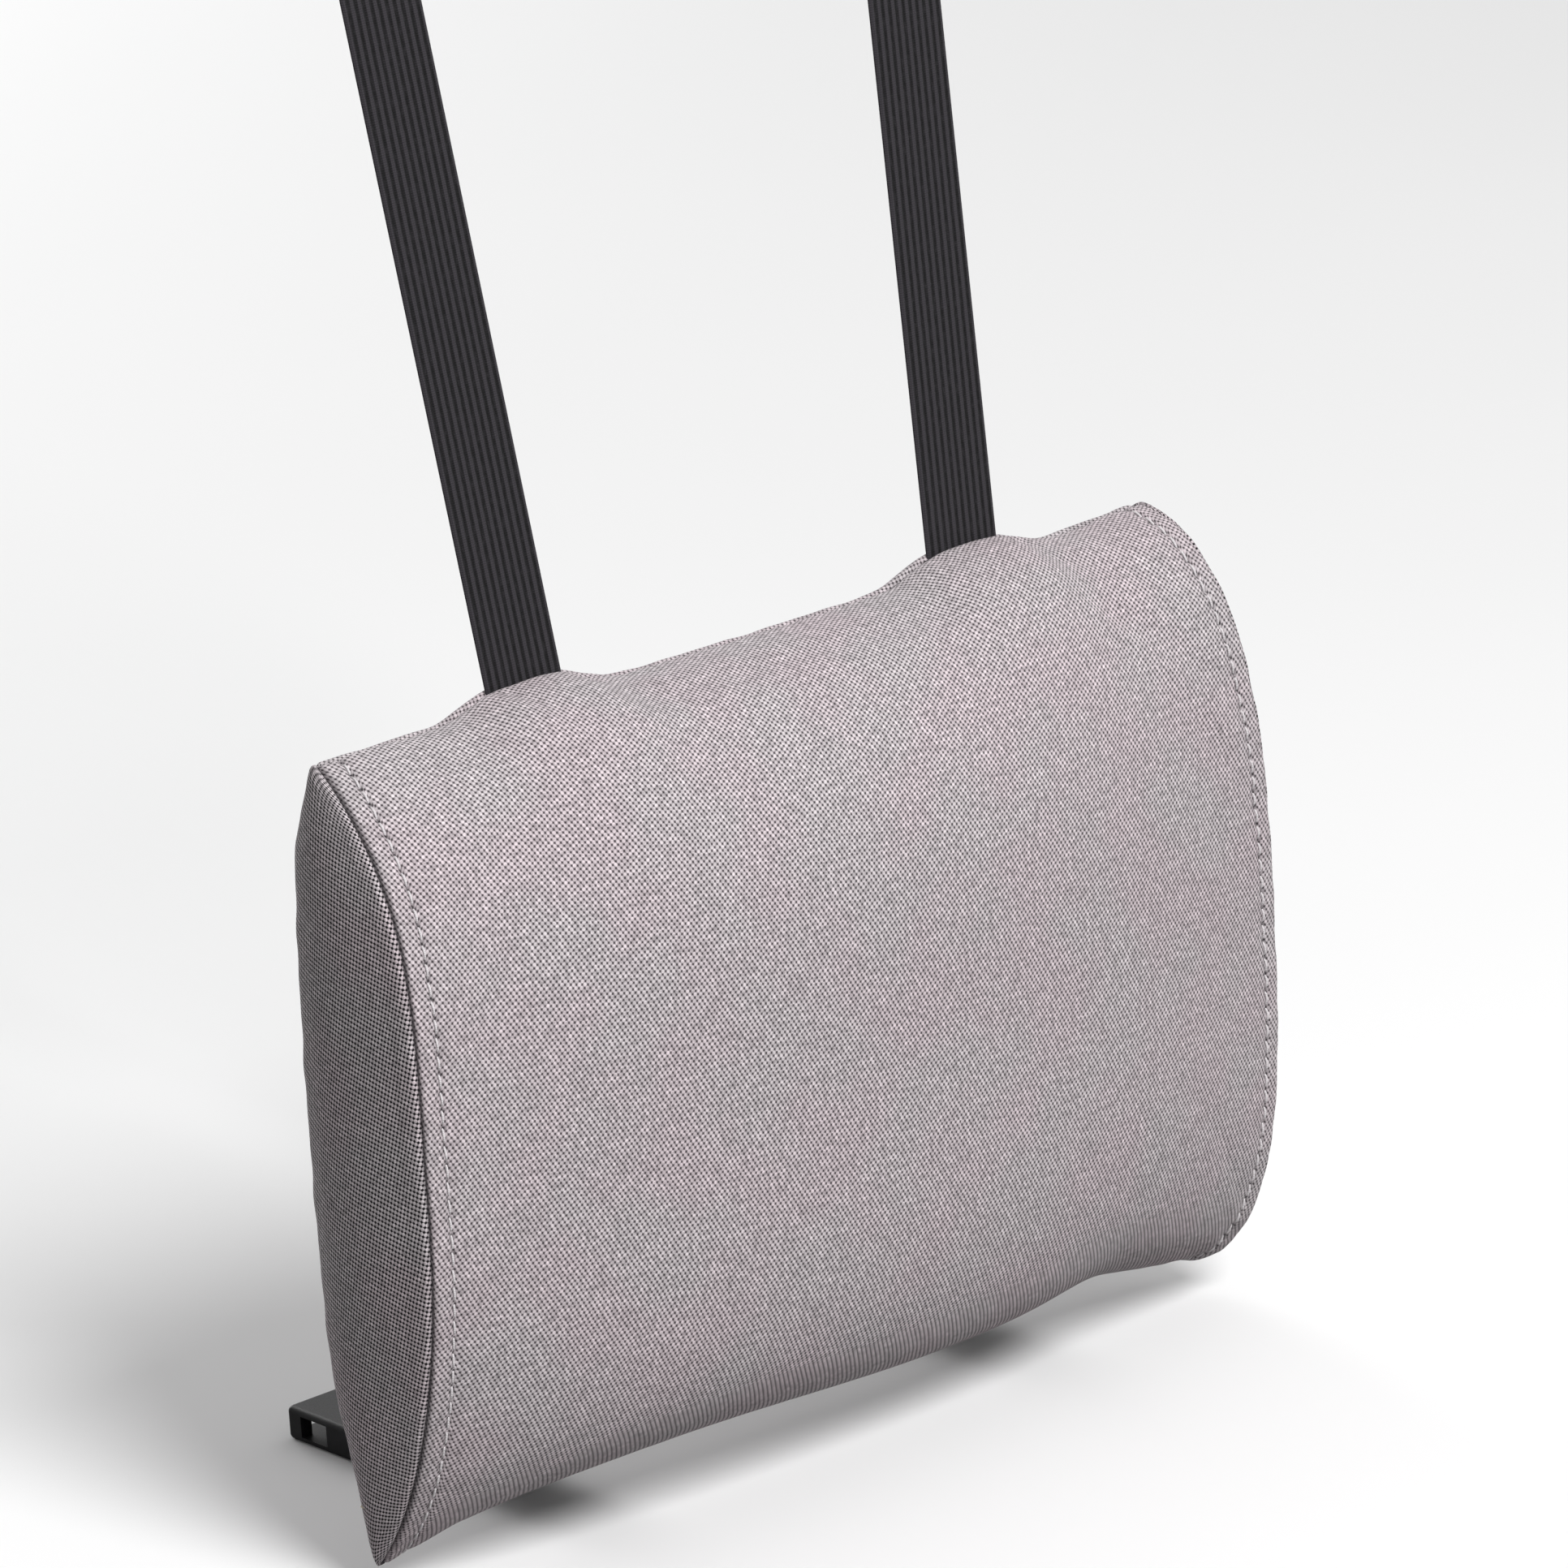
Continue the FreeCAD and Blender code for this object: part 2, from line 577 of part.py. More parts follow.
def place_female(shape):
    """Turn local -Z to +Y, so that the half lies flat behind the cushion."""
    shape = shape.copy()
    shape.rotate(Vector(0, 0, 0), Vector(1, 0, 0), 90)
    shape.translate(Vector(STRAP_X, FEMALE_BAR_Y, LOWER_RUN_Z + LOOP_RADIUS))
    return shape


# ---- export --------------------------------------------------------------------------------
def export_pair(name, right_shape):
    """Write the piece on the +X side and its mirror image on the -X side."""
    export(name + "_right", right_shape)
    export(name + "_left", mirrored(right_shape))


def main():
    os.makedirs("parts", exist_ok=True)
    filling()
    cover_panels()
    export_pair("gusset", gusset())
    zip_rows()
    export("zip_slider", on_zip(zip_slider().translated(Vector(SLIDER_X, 0, 0))))
    export("zip_pull_tab", on_zip(zip_pull().translated(Vector(SLIDER_X, 0, 0))))
    export_pair("upper_strap", upper_strap())
    export_pair("upper_strap_return", strap_return())
    export_pair("strap_end_fold", strap_end_fold())
    export_pair("triglide", triglide())
    export_pair("lower_strap", lower_strap())
    export_pair("buckle_male", place_male(buckle_male()))
    export_pair("buckle_female", place_female(buckle_female()))
    export_pair("buckle_prong_outer", place_male(buckle_prong()))
    export_pair("buckle_prong_inner", place_male(mirrored(buckle_prong())))


main()
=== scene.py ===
import json
import math

import bpy
import numpy as np
from mathutils import Matrix, Vector

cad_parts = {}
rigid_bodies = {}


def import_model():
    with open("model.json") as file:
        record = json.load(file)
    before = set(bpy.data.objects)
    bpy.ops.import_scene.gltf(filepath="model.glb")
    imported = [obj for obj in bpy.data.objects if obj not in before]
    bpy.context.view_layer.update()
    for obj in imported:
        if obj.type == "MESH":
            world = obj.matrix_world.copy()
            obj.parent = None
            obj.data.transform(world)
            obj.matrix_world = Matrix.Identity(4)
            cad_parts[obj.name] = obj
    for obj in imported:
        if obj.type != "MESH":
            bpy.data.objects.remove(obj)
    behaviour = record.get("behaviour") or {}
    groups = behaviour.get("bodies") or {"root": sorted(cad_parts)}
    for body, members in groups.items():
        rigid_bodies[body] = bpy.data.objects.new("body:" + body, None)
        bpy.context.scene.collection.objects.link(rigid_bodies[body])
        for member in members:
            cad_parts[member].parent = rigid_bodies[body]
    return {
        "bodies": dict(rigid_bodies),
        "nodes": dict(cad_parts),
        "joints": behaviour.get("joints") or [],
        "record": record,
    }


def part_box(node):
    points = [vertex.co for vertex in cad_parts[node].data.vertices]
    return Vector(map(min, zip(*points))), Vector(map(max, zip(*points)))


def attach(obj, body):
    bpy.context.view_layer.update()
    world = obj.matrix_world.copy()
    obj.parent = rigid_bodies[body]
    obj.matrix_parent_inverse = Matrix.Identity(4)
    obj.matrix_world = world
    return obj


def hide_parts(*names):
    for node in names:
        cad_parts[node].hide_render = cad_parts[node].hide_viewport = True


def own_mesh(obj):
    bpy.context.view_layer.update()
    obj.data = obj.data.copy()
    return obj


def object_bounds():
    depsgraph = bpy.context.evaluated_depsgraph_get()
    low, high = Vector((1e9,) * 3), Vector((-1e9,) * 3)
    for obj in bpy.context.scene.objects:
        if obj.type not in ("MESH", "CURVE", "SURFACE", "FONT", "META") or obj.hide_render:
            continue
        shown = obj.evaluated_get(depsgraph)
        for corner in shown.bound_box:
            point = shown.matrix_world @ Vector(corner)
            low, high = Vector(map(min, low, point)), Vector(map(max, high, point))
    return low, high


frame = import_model()
CAD_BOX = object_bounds()

# Lengths in this script are millimetres until a mesh is made. X runs along the cushion's width,
# Z is up and the front faces -Y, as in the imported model.
MM = 0.001


def node_box(node):
    """Lowest and highest corner of a CAD node, in millimetres."""
    low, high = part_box(node)
    return np.array(low) / MM, np.array(high) / MM


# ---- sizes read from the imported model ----
FRONT_BOX = node_box("front_panel")
GUSSET_BOX = node_box("gusset_right")
HALF_W = GUSSET_BOX[1][0]
HALF_H = FRONT_BOX[1][2]
SEAM_Y = FRONT_BOX[1][1]
FRONT_MIDDLE = SEAM_Y - FRONT_BOX[0][1]
FRONT_END = SEAM_Y - GUSSET_BOX[0][1]
TAPE_BOX = node_box("zip_tape_upper")

# ---- sizes shared with the CAD source ----
BACK_BULGE = 20.5
BACK_POWERS = ((5.0, 0.6), (2.6, 0.8))
FRONT_END_POWERS = ((4.0, 0.95), (2.2, 0.9))
FRONT_MIDDLE_POWERS = ((3.5, 0.5), (3.5, 0.5))
ZIP_Z = -84.0
ZIP_WINDOW = 4.0
ZIP_WINDOW_END = 129.0
COIL_OUTER = -0.4
COIL_THICKNESS = 2.2
COIL_HALF_LENGTH = 125.0
SLIDER_TRAVEL = 238.0
TEETH_PASSED = 159           # whole teeth over the travel, so the slider meets them alike at both ends
TAPE_THICKNESS = 0.6
STRAP_X = 76.0
STRAP_WIDTH = 25.0
STRAP_THICKNESS = 1.6
STRAP_SPREAD = math.radians(3.4)
SEWN_TAIL = 7.0
TURN_RADIUS = 35.0
TURN_Y = 41.0
TURN_Z = 412.0
REAR_Y = TURN_Y + TURN_RADIUS
TAUT_RADIUS = 26.0           # the pulled webbing turns a little tighter than in the CAD model
MALE_BAR_Z = 339.0
LOOP_RADIUS = 2.6
GLIDE_Z = 388.0
FOLD_LEG = 9.0
FOLD_RADIUS = 2.0
STRAP_PLAY = 0.3
FEMALE_BAR_Y = 50.0
LOWER_BEND = 2.2
TOP_X = STRAP_X + (TURN_Z - HALF_H) * math.tan(STRAP_SPREAD)

# ---- looks of the cover ----
COARSE_ROWS = 61
COARSE_COLS = 91
COARSE_DEPTH = 15
CORNER_PULL = (5.0, 9.0)     # how far the left and the right corners are drawn in
TOP_DIP = 1.5
ROOT_RISE = 6.4              # how far each upper strap lifts the top seam
ROOT_WIDTH = 22.0
CORNER_LIFT = 1.8            # the top right corner stands a little higher
BOTTOM_RISE = 10.4           # the seat pushes the middle of the bottom seam up
BOTTOM_SLOPE = 0.012         # a little more toward the left
BOTTOM_KINK = 4.0            # and into a kink by the right lower strap
KINK_X = STRAP_X + 11
BOTTOM_TUCK = 5.0            # extra rise of the front's underside toward the left
GUSSET_DOME = 2.5
GUSSET_ROLL = 4.5
FILLING_POWER = 7
RIGHT_POWERS = ((4.2, 0.46), (4.2, 0.5))
STITCH_LINE = 6.5
STITCH_PITCH = 4.8
STITCH_LENGTH = 3.7
THREAD_RADIUS = 0.34
HEM_STITCH = 5.0             # from the folded edges beside the zip to their topstitch
TWILL_PITCH = 1.25
GUSSET_GRAIN = math.radians(-72)
CORNER_FADE = 2.5
ROOT_FADE = 3
ZIP_KEEP = 22                # power that keeps the lifted bottom seam away from the zip
FLAT_EASE = 1.2              # rounding where the back's bulge meets its flat middle
END_PRESS = 3.0              # the back's ends stand this much in front of its flat middle
END_FROM = 112
END_TO = 146
LINER_INSET = 7.0
LINER_PITCH = 0.5
FOAM_INSET = 8.4

# ---- straps, floor and camera ----
LOOP_TAIL = 1.5
LAY_GAP = 0.2
EASE_RADIUS = 8.0
TACK_WIDTH = 18.0
RIB_PITCH = 2.4
SELVEDGE = 0.7
FLOOR_GLOW = (0.30, 0.30, 0.30)
FLOOR_HAZE = (1500.0, 7000.0, 0.0, 0.5)
SKY_RAMP = (-0.9, 0.5, 0.15, 0.60)            # darker on the left, lighter on the right
SKY_SEEN = 0.9
CAMERA_PLACE = (-1.40578, -1.66734, 0.75557)
CAMERA_ANGLES = (-40.614, 17.627, -3.583)    # azimuth, elevation and roll in degrees
CAMERA_LENS = 199.2


# ---- materials ----
class Nodes:
    """Short way to write a material's node tree."""

    def __init__(self, name):
        self.material = bpy.data.materials.new(name)
        self.material.use_nodes = True
        self.tree = self.material.node_tree
        self.shader = self.tree.nodes["Principled BSDF"]

    def add(self, kind, inputs=(), **settings):
        node = self.tree.nodes.new(kind)
        for key, value in settings.items():
            setattr(node, key, value)
        for key, value in dict(inputs).items():
            self.put(node.inputs[key], value)
        return node

    def put(self, socket, value):
        if isinstance(value, bpy.types.NodeSocket):
            self.tree.links.new(value, socket)
        else:
            socket.default_value = value

    def math(self, operation, a, b=0.0, c=0.0):
        node = self.add("ShaderNodeMath", {0: a, 1: b, 2: c}, operation=operation)
        return node.outputs[0]

    def times(self, a, b):
        return self.math("MULTIPLY", a, b)

    def span(self, value, low, high, to_low=0.0, to_high=1.0):
        inputs = {0: value, 1: low, 2: high, 3: to_low, 4: to_high}
        return self.add("ShaderNodeMapRange", inputs, interpolation_type="SMOOTHSTEP").outputs[0]

    def mix(self, factor, a, b, blend="MIX"):
        node = self.add("ShaderNodeMix", data_type="RGBA", blend_type=blend)
        for index, value in ((0, factor), (6, a), (7, b)):
            if not isinstance(value, (float, bpy.types.NodeSocket)):
                value = (*value, 1.0)
            self.put(node.inputs[index], value)
        return node.outputs[2]

    def cloth(self):
        """The mesh's own cloth coordinates in millimetres: across, along, piece."""
        place = self.add("ShaderNodeAttribute", attribute_name="cloth").outputs["Vector"]
        parts = self.add("ShaderNodeSeparateXYZ", {0: place}).outputs
        return place, parts[0], parts[1]

    def object_mm(self):
        place = self.add("ShaderNodeTexCoord").outputs["Object"]
        return self.add("ShaderNodeVectorMath", {0: place, 3: 1000.0}, operation="SCALE").outputs[0]

    def noise(self, place, scale, detail=2.0, roughness=0.5, stretch=None):
        if stretch:
            place = self.add("ShaderNodeVectorMath", {0: place, 1: stretch}, operation="MULTIPLY").outputs[0]
        inputs = {"Vector": place, "Scale": scale, "Detail": detail, "Roughness": roughness}
        return self.add("ShaderNodeTexNoise", inputs).outputs["Fac"]

    def finish(self, color, roughness, height=None, distance=0.0, strength=1.0, **sockets):
        self.put(self.shader.inputs["Base Color"], color)
        self.put(self.shader.inputs["Roughness"], roughness)
        for key, value in sockets.items():
            self.put(self.shader.inputs[key.replace("_", " ")], value)
        if height is not None:
            inputs = {"Height": height, "Distance": distance * MM, "Strength": strength}
            bump = self.add("ShaderNodeBump", inputs)
            self.put(self.shader.inputs["Normal"], bump.outputs[0])
        return self.material


def cover_fabric(name, gap, thread, low, high):
    """Heather twill: pale threads with painted shade in the gaps between them, told apart by the weave's
    height from low to high.
    """
    n = Nodes(name)
    place, across, along = n.cloth()
    drift = n.noise(place, 0.03, 2.0)
    turn = 2 * math.pi / TWILL_PITCH
    wave = n.times(n.math("SUBTRACT", drift, 0.5), 9.0)
    line = n.math("MULTIPLY_ADD", across, 0.871 * turn, n.math("MULTIPLY_ADD", along, -0.491 * turn, wave))
    cross = n.math("MULTIPLY_ADD", across, 0.58 * turn, n.times(along, 0.92 * turn))
    rib = n.math("MULTIPLY_ADD", n.math("SINE", line), 0.5, 0.5)
    bead = n.math("MULTIPLY_ADD", n.math("SINE", cross), 0.5, 0.5)
    ribbed = n.math("MULTIPLY_ADD", rib, 0.6, 0.4)
    beaded = n.math("MULTIPLY_ADD", bead, 0.55, 0.45)
    height = n.times(ribbed, beaded)
    warp_slub = n.noise(place, 1.0, 2.0, 0.6, stretch=(1.1, 0.12, 1.0))
    weft_slub = n.noise(place, 1.0, 2.0, 0.6, stretch=(0.12, 1.1, 7.0))
    slub = n.times(n.math("ADD", warp_slub, weft_slub), 0.5)
    fleck = n.noise(place, 0.6, 3.0, 0.8)
    blotch = n.noise(place, 0.03, 2.0, 0.5)
    # Painted shade: the gap colour fills the low parts of the weave, the hollows between the threads.
    color = n.mix(n.span(height, low, high), gap, thread)
    tone = n.span(slub, 0.36, 0.64, 0.85, 1.15)
    tone = n.times(tone, n.span(fleck, 0.25, 0.75, 0.68, 1.33))
    grey = n.add("ShaderNodeCombineXYZ", {0: tone, 1: tone, 2: tone}).outputs[0]
    color = n.mix(1.0, color, grey, "MULTIPLY")
    tint = n.mix(n.span(blotch, 0.35, 0.65), (0.985, 1.005, 1.0), (1.02, 0.985, 1.0))
    color = n.mix(1.0, color, tint, "MULTIPLY")
    # Painted shade: the 'shade' attribute darkens the seam grooves, the seam lines and the needle holes to
    # near black.
    shade = n.add("ShaderNodeAttribute", attribute_name="shade").outputs["Fac"]
    color = n.mix(shade, color, (0.018, 0.015, 0.018))
    relief = n.math("ADD", height, n.times(n.math("ADD", fleck, slub), 0.35))
    return n.finish(color, 0.88, relief, 0.14, 0.6, Sheen_Weight=0.08, Sheen_Roughness=0.5,
                    Specular_IOR_Level=0.15)


def thread_material(name, dark, light):
    n = Nodes(name)
    place = n.object_mm()
    fibre = n.noise(place, 2.2, 3.0, 0.6)
    twist = n.add("ShaderNodeTexWave", {"Vector": place, "Scale": 1.1, "Distortion": 1.5, "Detail": 1.0},
                  bands_direction="DIAGONAL").outputs["Fac"]
    color = n.mix(n.times(n.math("ADD", fibre, twist), 0.5), dark, light)
    return n.finish(color, 0.55, twist, 0.06, 0.6, Sheen_Weight=0.2)


def webbing_material(name):
    n = Nodes(name)
    place, across, along = n.cloth()
    pick = n.math("SINE", n.times(along, math.pi / 0.62))
    side = n.math("SINE", n.times(across, math.pi / 0.6))
    height = n.math("POWER", n.math("ABSOLUTE", n.times(pick, side)), 0.5)
    fibre = n.noise(place, 1.4, 3.0, 0.65, stretch=(1.0, 0.25, 1.0))
    # Painted highlight and shade: lighter colour on the rib crowns and darker colour between the ribs, in
    # step with the mesh's ribs.
    rib = n.math("COSINE", n.times(across, 2 * math.pi / RIB_PITCH))
    rib = n.span(rib, -0.7, 0.8)
    color = n.mix(rib, (0.0016, 0.0014, 0.0019), (0.0390, 0.0350, 0.0415))
    color = n.mix(n.span(fibre, 0.40, 0.8, 0.0, 0.4), color, (0.045, 0.041, 0.048))
    # Painted shade: darker where the picks' weave lies low.
    color = n.mix(n.times(n.math("SUBTRACT", 1.0, height), 0.5), color, (0.006, 0.006, 0.007))
    relief = n.math("ADD", height, n.times(fibre, 0.6))
    return n.finish(color, 0.7, relief, 0.13, 0.8, Sheen_Weight=0.08, Sheen_Roughness=0.45,
                    Specular_IOR_Level=0.22)


def tape_material(name):
    n = Nodes(name)
    place, across, along = n.cloth()
    chevron = n.math("ADD", along, n.math("PINGPONG", across, 1.1))
    line = n.math("SINE", n.times(chevron, 2 * math.pi / 0.9))
    fibre = n.noise(place, 2.0, 3.0, 0.6)
    color = n.mix(n.span(line, -0.8, 0.8), (0.135, 0.125, 0.132), (0.235, 0.220, 0.230))
    color = n.mix(n.times(fibre, 0.5), color, (0.26, 0.245, 0.255))
    return n.finish(color, 0.75, n.math("ADD", line, fibre), 0.08, 0.7, Sheen_Weight=0.2)


def coil_material(name):
    n = Nodes(name)
    place = n.object_mm()
    cloudy = n.noise(place, 0.5, 2.0)
    color = n.mix(cloudy, (0.15, 0.14, 0.148), (0.215, 0.203, 0.212))
    scratch = n.noise(place, 3.0, 3.0, 0.7)
    return n.finish(color, n.span(scratch, 0.2, 0.8, 0.28, 0.42), scratch, 0.03, 0.4, Coat_Weight=0.15)


def plastic_material(name):
    n = Nodes(name)
    place = n.object_mm()
    grain = n.noise(place, 3.2, 4.0, 0.7)
    worn = n.noise(place, 0.18, 3.0, 0.6)
    color = n.mix(n.span(worn, 0.3, 0.75), (0.0105, 0.0105, 0.0115), (0.021, 0.021, 0.023))
    rough = n.math("ADD", n.span(grain, 0.3, 0.7, 0.34, 0.46), n.times(worn, 0.10))
    return n.finish(color, rough, grain, 0.035, 0.55, Specular_IOR_Level=0.5)


def metal_material(name):
    n = Nodes(name)
    place = n.object_mm()
    brush = n.noise(place, 1.2, 3.0, 0.6, stretch=(0.2, 2.5, 2.5))
    pits = n.noise(place, 4.0, 2.0, 0.5)
    color = n.mix(brush, (0.30, 0.30, 0.31), (0.46, 0.455, 0.46))
    return n.finish(color, n.span(brush, 0.2, 0.8, 0.24, 0.40), pits, 0.02, 0.4, Metallic=1.0)


def liner_material(name):
    """Fine off-white plain weave, a little clouded."""
    n = Nodes(name)
    place, across, along = n.cloth()
    turn = math.pi / LINER_PITCH
    product = n.times(n.math("SINE", n.times(across, turn)), n.math("SINE", n.times(along, turn)))
    over = n.span(product, -0.12, 0.12)
    height = n.math("POWER", n.math("ABSOLUTE", product), 0.45)
    cloudy = n.noise(place, 0.08, 3.0)
    color = n.mix(n.times(over, 0.6), (0.60, 0.585, 0.55), (0.74, 0.73, 0.70))
    color = n.mix(n.times(cloudy, 0.3), color, (0.58, 0.56, 0.52))
    return n.finish(color, 0.9, height, 0.08, 0.6, Sheen_Weight=0.2)


def foam_material(name):
    n = Nodes(name)
    place = n.object_mm()
    cells = n.add("ShaderNodeTexVoronoi", {"Vector": place, "Scale": 0.9}, feature="DISTANCE_TO_EDGE")
    pore_inside = n.span(cells.outputs["Distance"], 0.02, 0.25)
    yellowed = n.noise(place, 0.02, 3.0)
    # Painted shade: the insides of the pores are coloured darker than the cell walls.
    color = n.mix(pore_inside, (0.74, 0.68, 0.52), (0.50, 0.44, 0.30))
    color = n.mix(n.times(yellowed, 0.4), color, (0.66, 0.56, 0.36))
    return n.finish(color, 0.92, pore_inside, 0.4, 0.8)


def floor_material(name):
    """Pale floor. It lights the object less than it shows, and pales into the background far away."""
    n = Nodes(name)
    place = n.object_mm()
    cloudy = n.noise(place, 0.002, 2.0)
    color = n.mix(cloudy, (0.88, 0.88, 0.88), (0.91, 0.91, 0.91))
    seen = n.add("ShaderNodeLightPath").outputs["Is Camera Ray"]
    color = n.mix(seen, FLOOR_GLOW, color)
    away = n.add("ShaderNodeVectorMath", {0: place}, operation="LENGTH").outputs["Value"]
    haze = n.times(seen, n.span(away, *FLOOR_HAZE))
    return n.finish(color, 0.85, Specular_IOR_Level=0.1, Emission_Color=(1.0, 1.0, 1.0, 1.0),
                    Emission_Strength=haze)


FABRIC = cover_fabric("cover_fabric", (0.030, 0.023, 0.027), (0.545, 0.492, 0.510), 0.14, 0.62)
# The gussets' copy paints the shade in its gaps nearly black and over more of the weave.
END_FABRIC = cover_fabric("end_fabric", (0.004, 0.003, 0.004), (0.560, 0.504, 0.524), 0.28, 0.58)
THREAD = thread_material("cover_thread", (0.42, 0.39, 0.40), (0.86, 0.82, 0.84))
BLACK_THREAD = thread_material("black_thread", (0.012, 0.012, 0.013), (0.050, 0.049, 0.054))
WEBBING = webbing_material("elastic_webbing")
TAPE = tape_material("zip_tape")
COIL = coil_material("zip_coil")
PLASTIC = plastic_material("black_plastic")
METAL = metal_material("zip_metal")
LINER = liner_material("liner_fabric")
FOAM = foam_material("foam")


# ---- mesh helpers ----
def new_object(name, data):
    made = bpy.data.objects.new(name, data)
    bpy.context.scene.collection.objects.link(made)
    return made


def make_piece(name, points, faces, material, body, cloth=None, shade=None):
    """A mesh object from points in millimetres, riding on a CAD body."""
    mesh = bpy.data.meshes.new(name)
    points = np.asarray(points, float).reshape(-1, 3)
    mesh.from_pydata((points * MM).tolist(), [], faces)
    mesh.materials.append(material)
    mesh.polygons.foreach_set("use_smooth", np.ones(len(mesh.polygons), bool))
    if cloth is not None:
        layer = mesh.attributes.new("cloth", "FLOAT_VECTOR", "POINT")
        layer.data.foreach_set("vector", np.asarray(cloth, np.float32).ravel())
    if shade is not None:
        layer = mesh.attributes.new("shade", "FLOAT", "POINT")
        layer.data.foreach_set("value", np.asarray(shade, np.float32).ravel())
    mesh.validate()
    piece = new_object(name, mesh)
    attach(piece, body)
    return piece


def grid_faces(rows, cols, flip=False, wrap=False, start=0):
    """Quads between the points of a rows x cols grid; wrap joins the last column to the first."""
    index = start + np.arange(rows * cols).reshape(rows, cols)
    if wrap:
        index = np.concatenate([index, index[:, :1]], 1)
    corners = [index[:-1, :-1], index[1:, :-1], index[1:, 1:], index[:-1, 1:]]
    if flip:
        corners.reverse()
    return np.stack([c.ravel() for c in corners], 1).tolist()


def spline_weights(count, places):
    """Catmull-Rom weights, one row for each fractional index in a line of count points."""
    places = np.clip(places, 0, count - 1)
    cell = np.clip(np.floor(places).astype(int), 0, count - 2)
    t = places - cell
    basis = (-0.5 * t + t**2 - 0.5 * t**3, 1 - 2.5 * t**2 + 1.5 * t**3,
             0.5 * t + 2 * t**2 - 1.5 * t**3, -0.5 * t**2 + 0.5 * t**3)
    weights = np.zeros((len(places), count + 2))
    for k, part in enumerate(basis):
        weights[np.arange(len(places)), cell + k] += part
    weights[:, 1] += 2 * weights[:, 0]
    weights[:, 2] -= weights[:, 0]
    weights[:, count] += 2 * weights[:, count + 1]
    weights[:, count - 1] -= weights[:, count + 1]
    return weights[:, 1:count + 1]


def resample(grid, rows, cols):
    """Smooth values of a coarse grid at fractional row and column indices."""
    row_weights = spline_weights(grid.shape[0], rows)
    col_weights = spline_weights(grid.shape[1], cols)
    return np.einsum("ri,cj,ijk->rck", row_weights, col_weights, grid)


def unit(vectors):
    return vectors / np.maximum(np.linalg.norm(vectors, axis=-1, keepdims=True), 1e-9)


def run_lengths(points, axis):
    """Distance along a grid's lines from their first point."""
    steps = np.linalg.norm(np.diff(points, axis=axis), axis=-1)
    zero = np.zeros_like(np.take(steps, [0], axis=axis))
    return np.concatenate([zero, np.cumsum(steps, axis=axis)], axis=axis)


def smooth(value, low, high):
    t = np.clip((value - low) / (high - low), 0, 1)
    return t * t * (3 - 2 * t)


def bell(value, width):
    return np.exp(-(value / width) ** 2)


def sweep(lines, normals, radius, sides=6, flatten=1.0):
    """Round tubes along many short lines, as one mesh. lines and normals are (count, points, 3)."""
    lines = np.asarray(lines, float)
    tangent = unit(np.gradient(lines, axis=1))
    side = unit(np.cross(tangent, normals))
    up = np.cross(side, tangent)
    angle = 2 * math.pi * np.arange(sides) / sides
    radius = np.broadcast_to(radius, lines.shape[1])
    reach = radius[None, :, None, None]
    ring = (np.cos(angle)[None, None, :, None] * side[:, :, None, :]
            + flatten * np.sin(angle)[None, None, :, None] * up[:, :, None, :])
    points = lines[:, :, None, :] + reach * ring
    count, length = lines.shape[:2]
    faces = []
    for k in range(count):
        first = k * length * sides
        faces += grid_faces(length, sides, wrap=True, start=first)
        faces.append(list(range(first, first + sides)))
        faces.append(list(range(first + (length - 1) * sides, first + length * sides))[::-1])
    return points.reshape(-1, 3), faces


def stitch_row(name, line, normals, material, body, pitch=STITCH_PITCH, length=STITCH_LENGTH,
               radius=THREAD_RADIUS, phase=0.5):
    """Thread stitches lying along a line of surface points, each diving in at its two ends."""
    run = run_lengths(line, 0)
    starts = np.arange(phase * pitch, run[-1] - length, pitch)
    share = np.array([0, 0.07, 0.2, 0.5, 0.8, 0.93, 1.0])
    height = radius * np.array([-1.6, -0.2, 0.55, 0.85, 0.55, -0.2, -1.6])
    places = starts[:, None] + share[None, :] * length
    path = np.stack([np.interp(places, run, line[:, k]) for k in range(3)], -1)
    up = unit(np.stack([np.interp(places, run, normals[:, k]) for k in range(3)], -1))
    path = path + up * height[None, :, None]
    thick = radius * np.array([0.7, 0.95, 1.0, 1.08, 1.0, 0.95, 0.7])
    points, faces = sweep(path, up, thick)
    return make_piece(name, points, faces, material, body), starts


# ---- cushion shape ----
def side_offset(x):
    """How far the top and bottom seams leave the level lines, at width x."""
    root = np.exp(-(((np.abs(x) - STRAP_X) / ROOT_WIDTH) ** 4))
    top = -TOP_DIP * np.cos(math.pi * x / 290.0) ** 2 + CORNER_LIFT * smooth(x, 105, 150)
    bottom = (BOTTOM_RISE - BOTTOM_SLOPE * x) * (1 - np.minimum(1, np.abs(x / HALF_W)) ** 6)
    bottom = bottom + BOTTOM_KINK * bell(x - KINK_X, ROOT_WIDTH)
    return top, root, bottom


def bulge(fraction, powers):
    """Relative depth of the section, 0 at both seams and 1 at mid height."""
    size = np.abs(fraction)
    upper, lower = ((1 - size**inner) ** outer for inner, outer in powers)
    return np.where(fraction > 0, upper, lower)


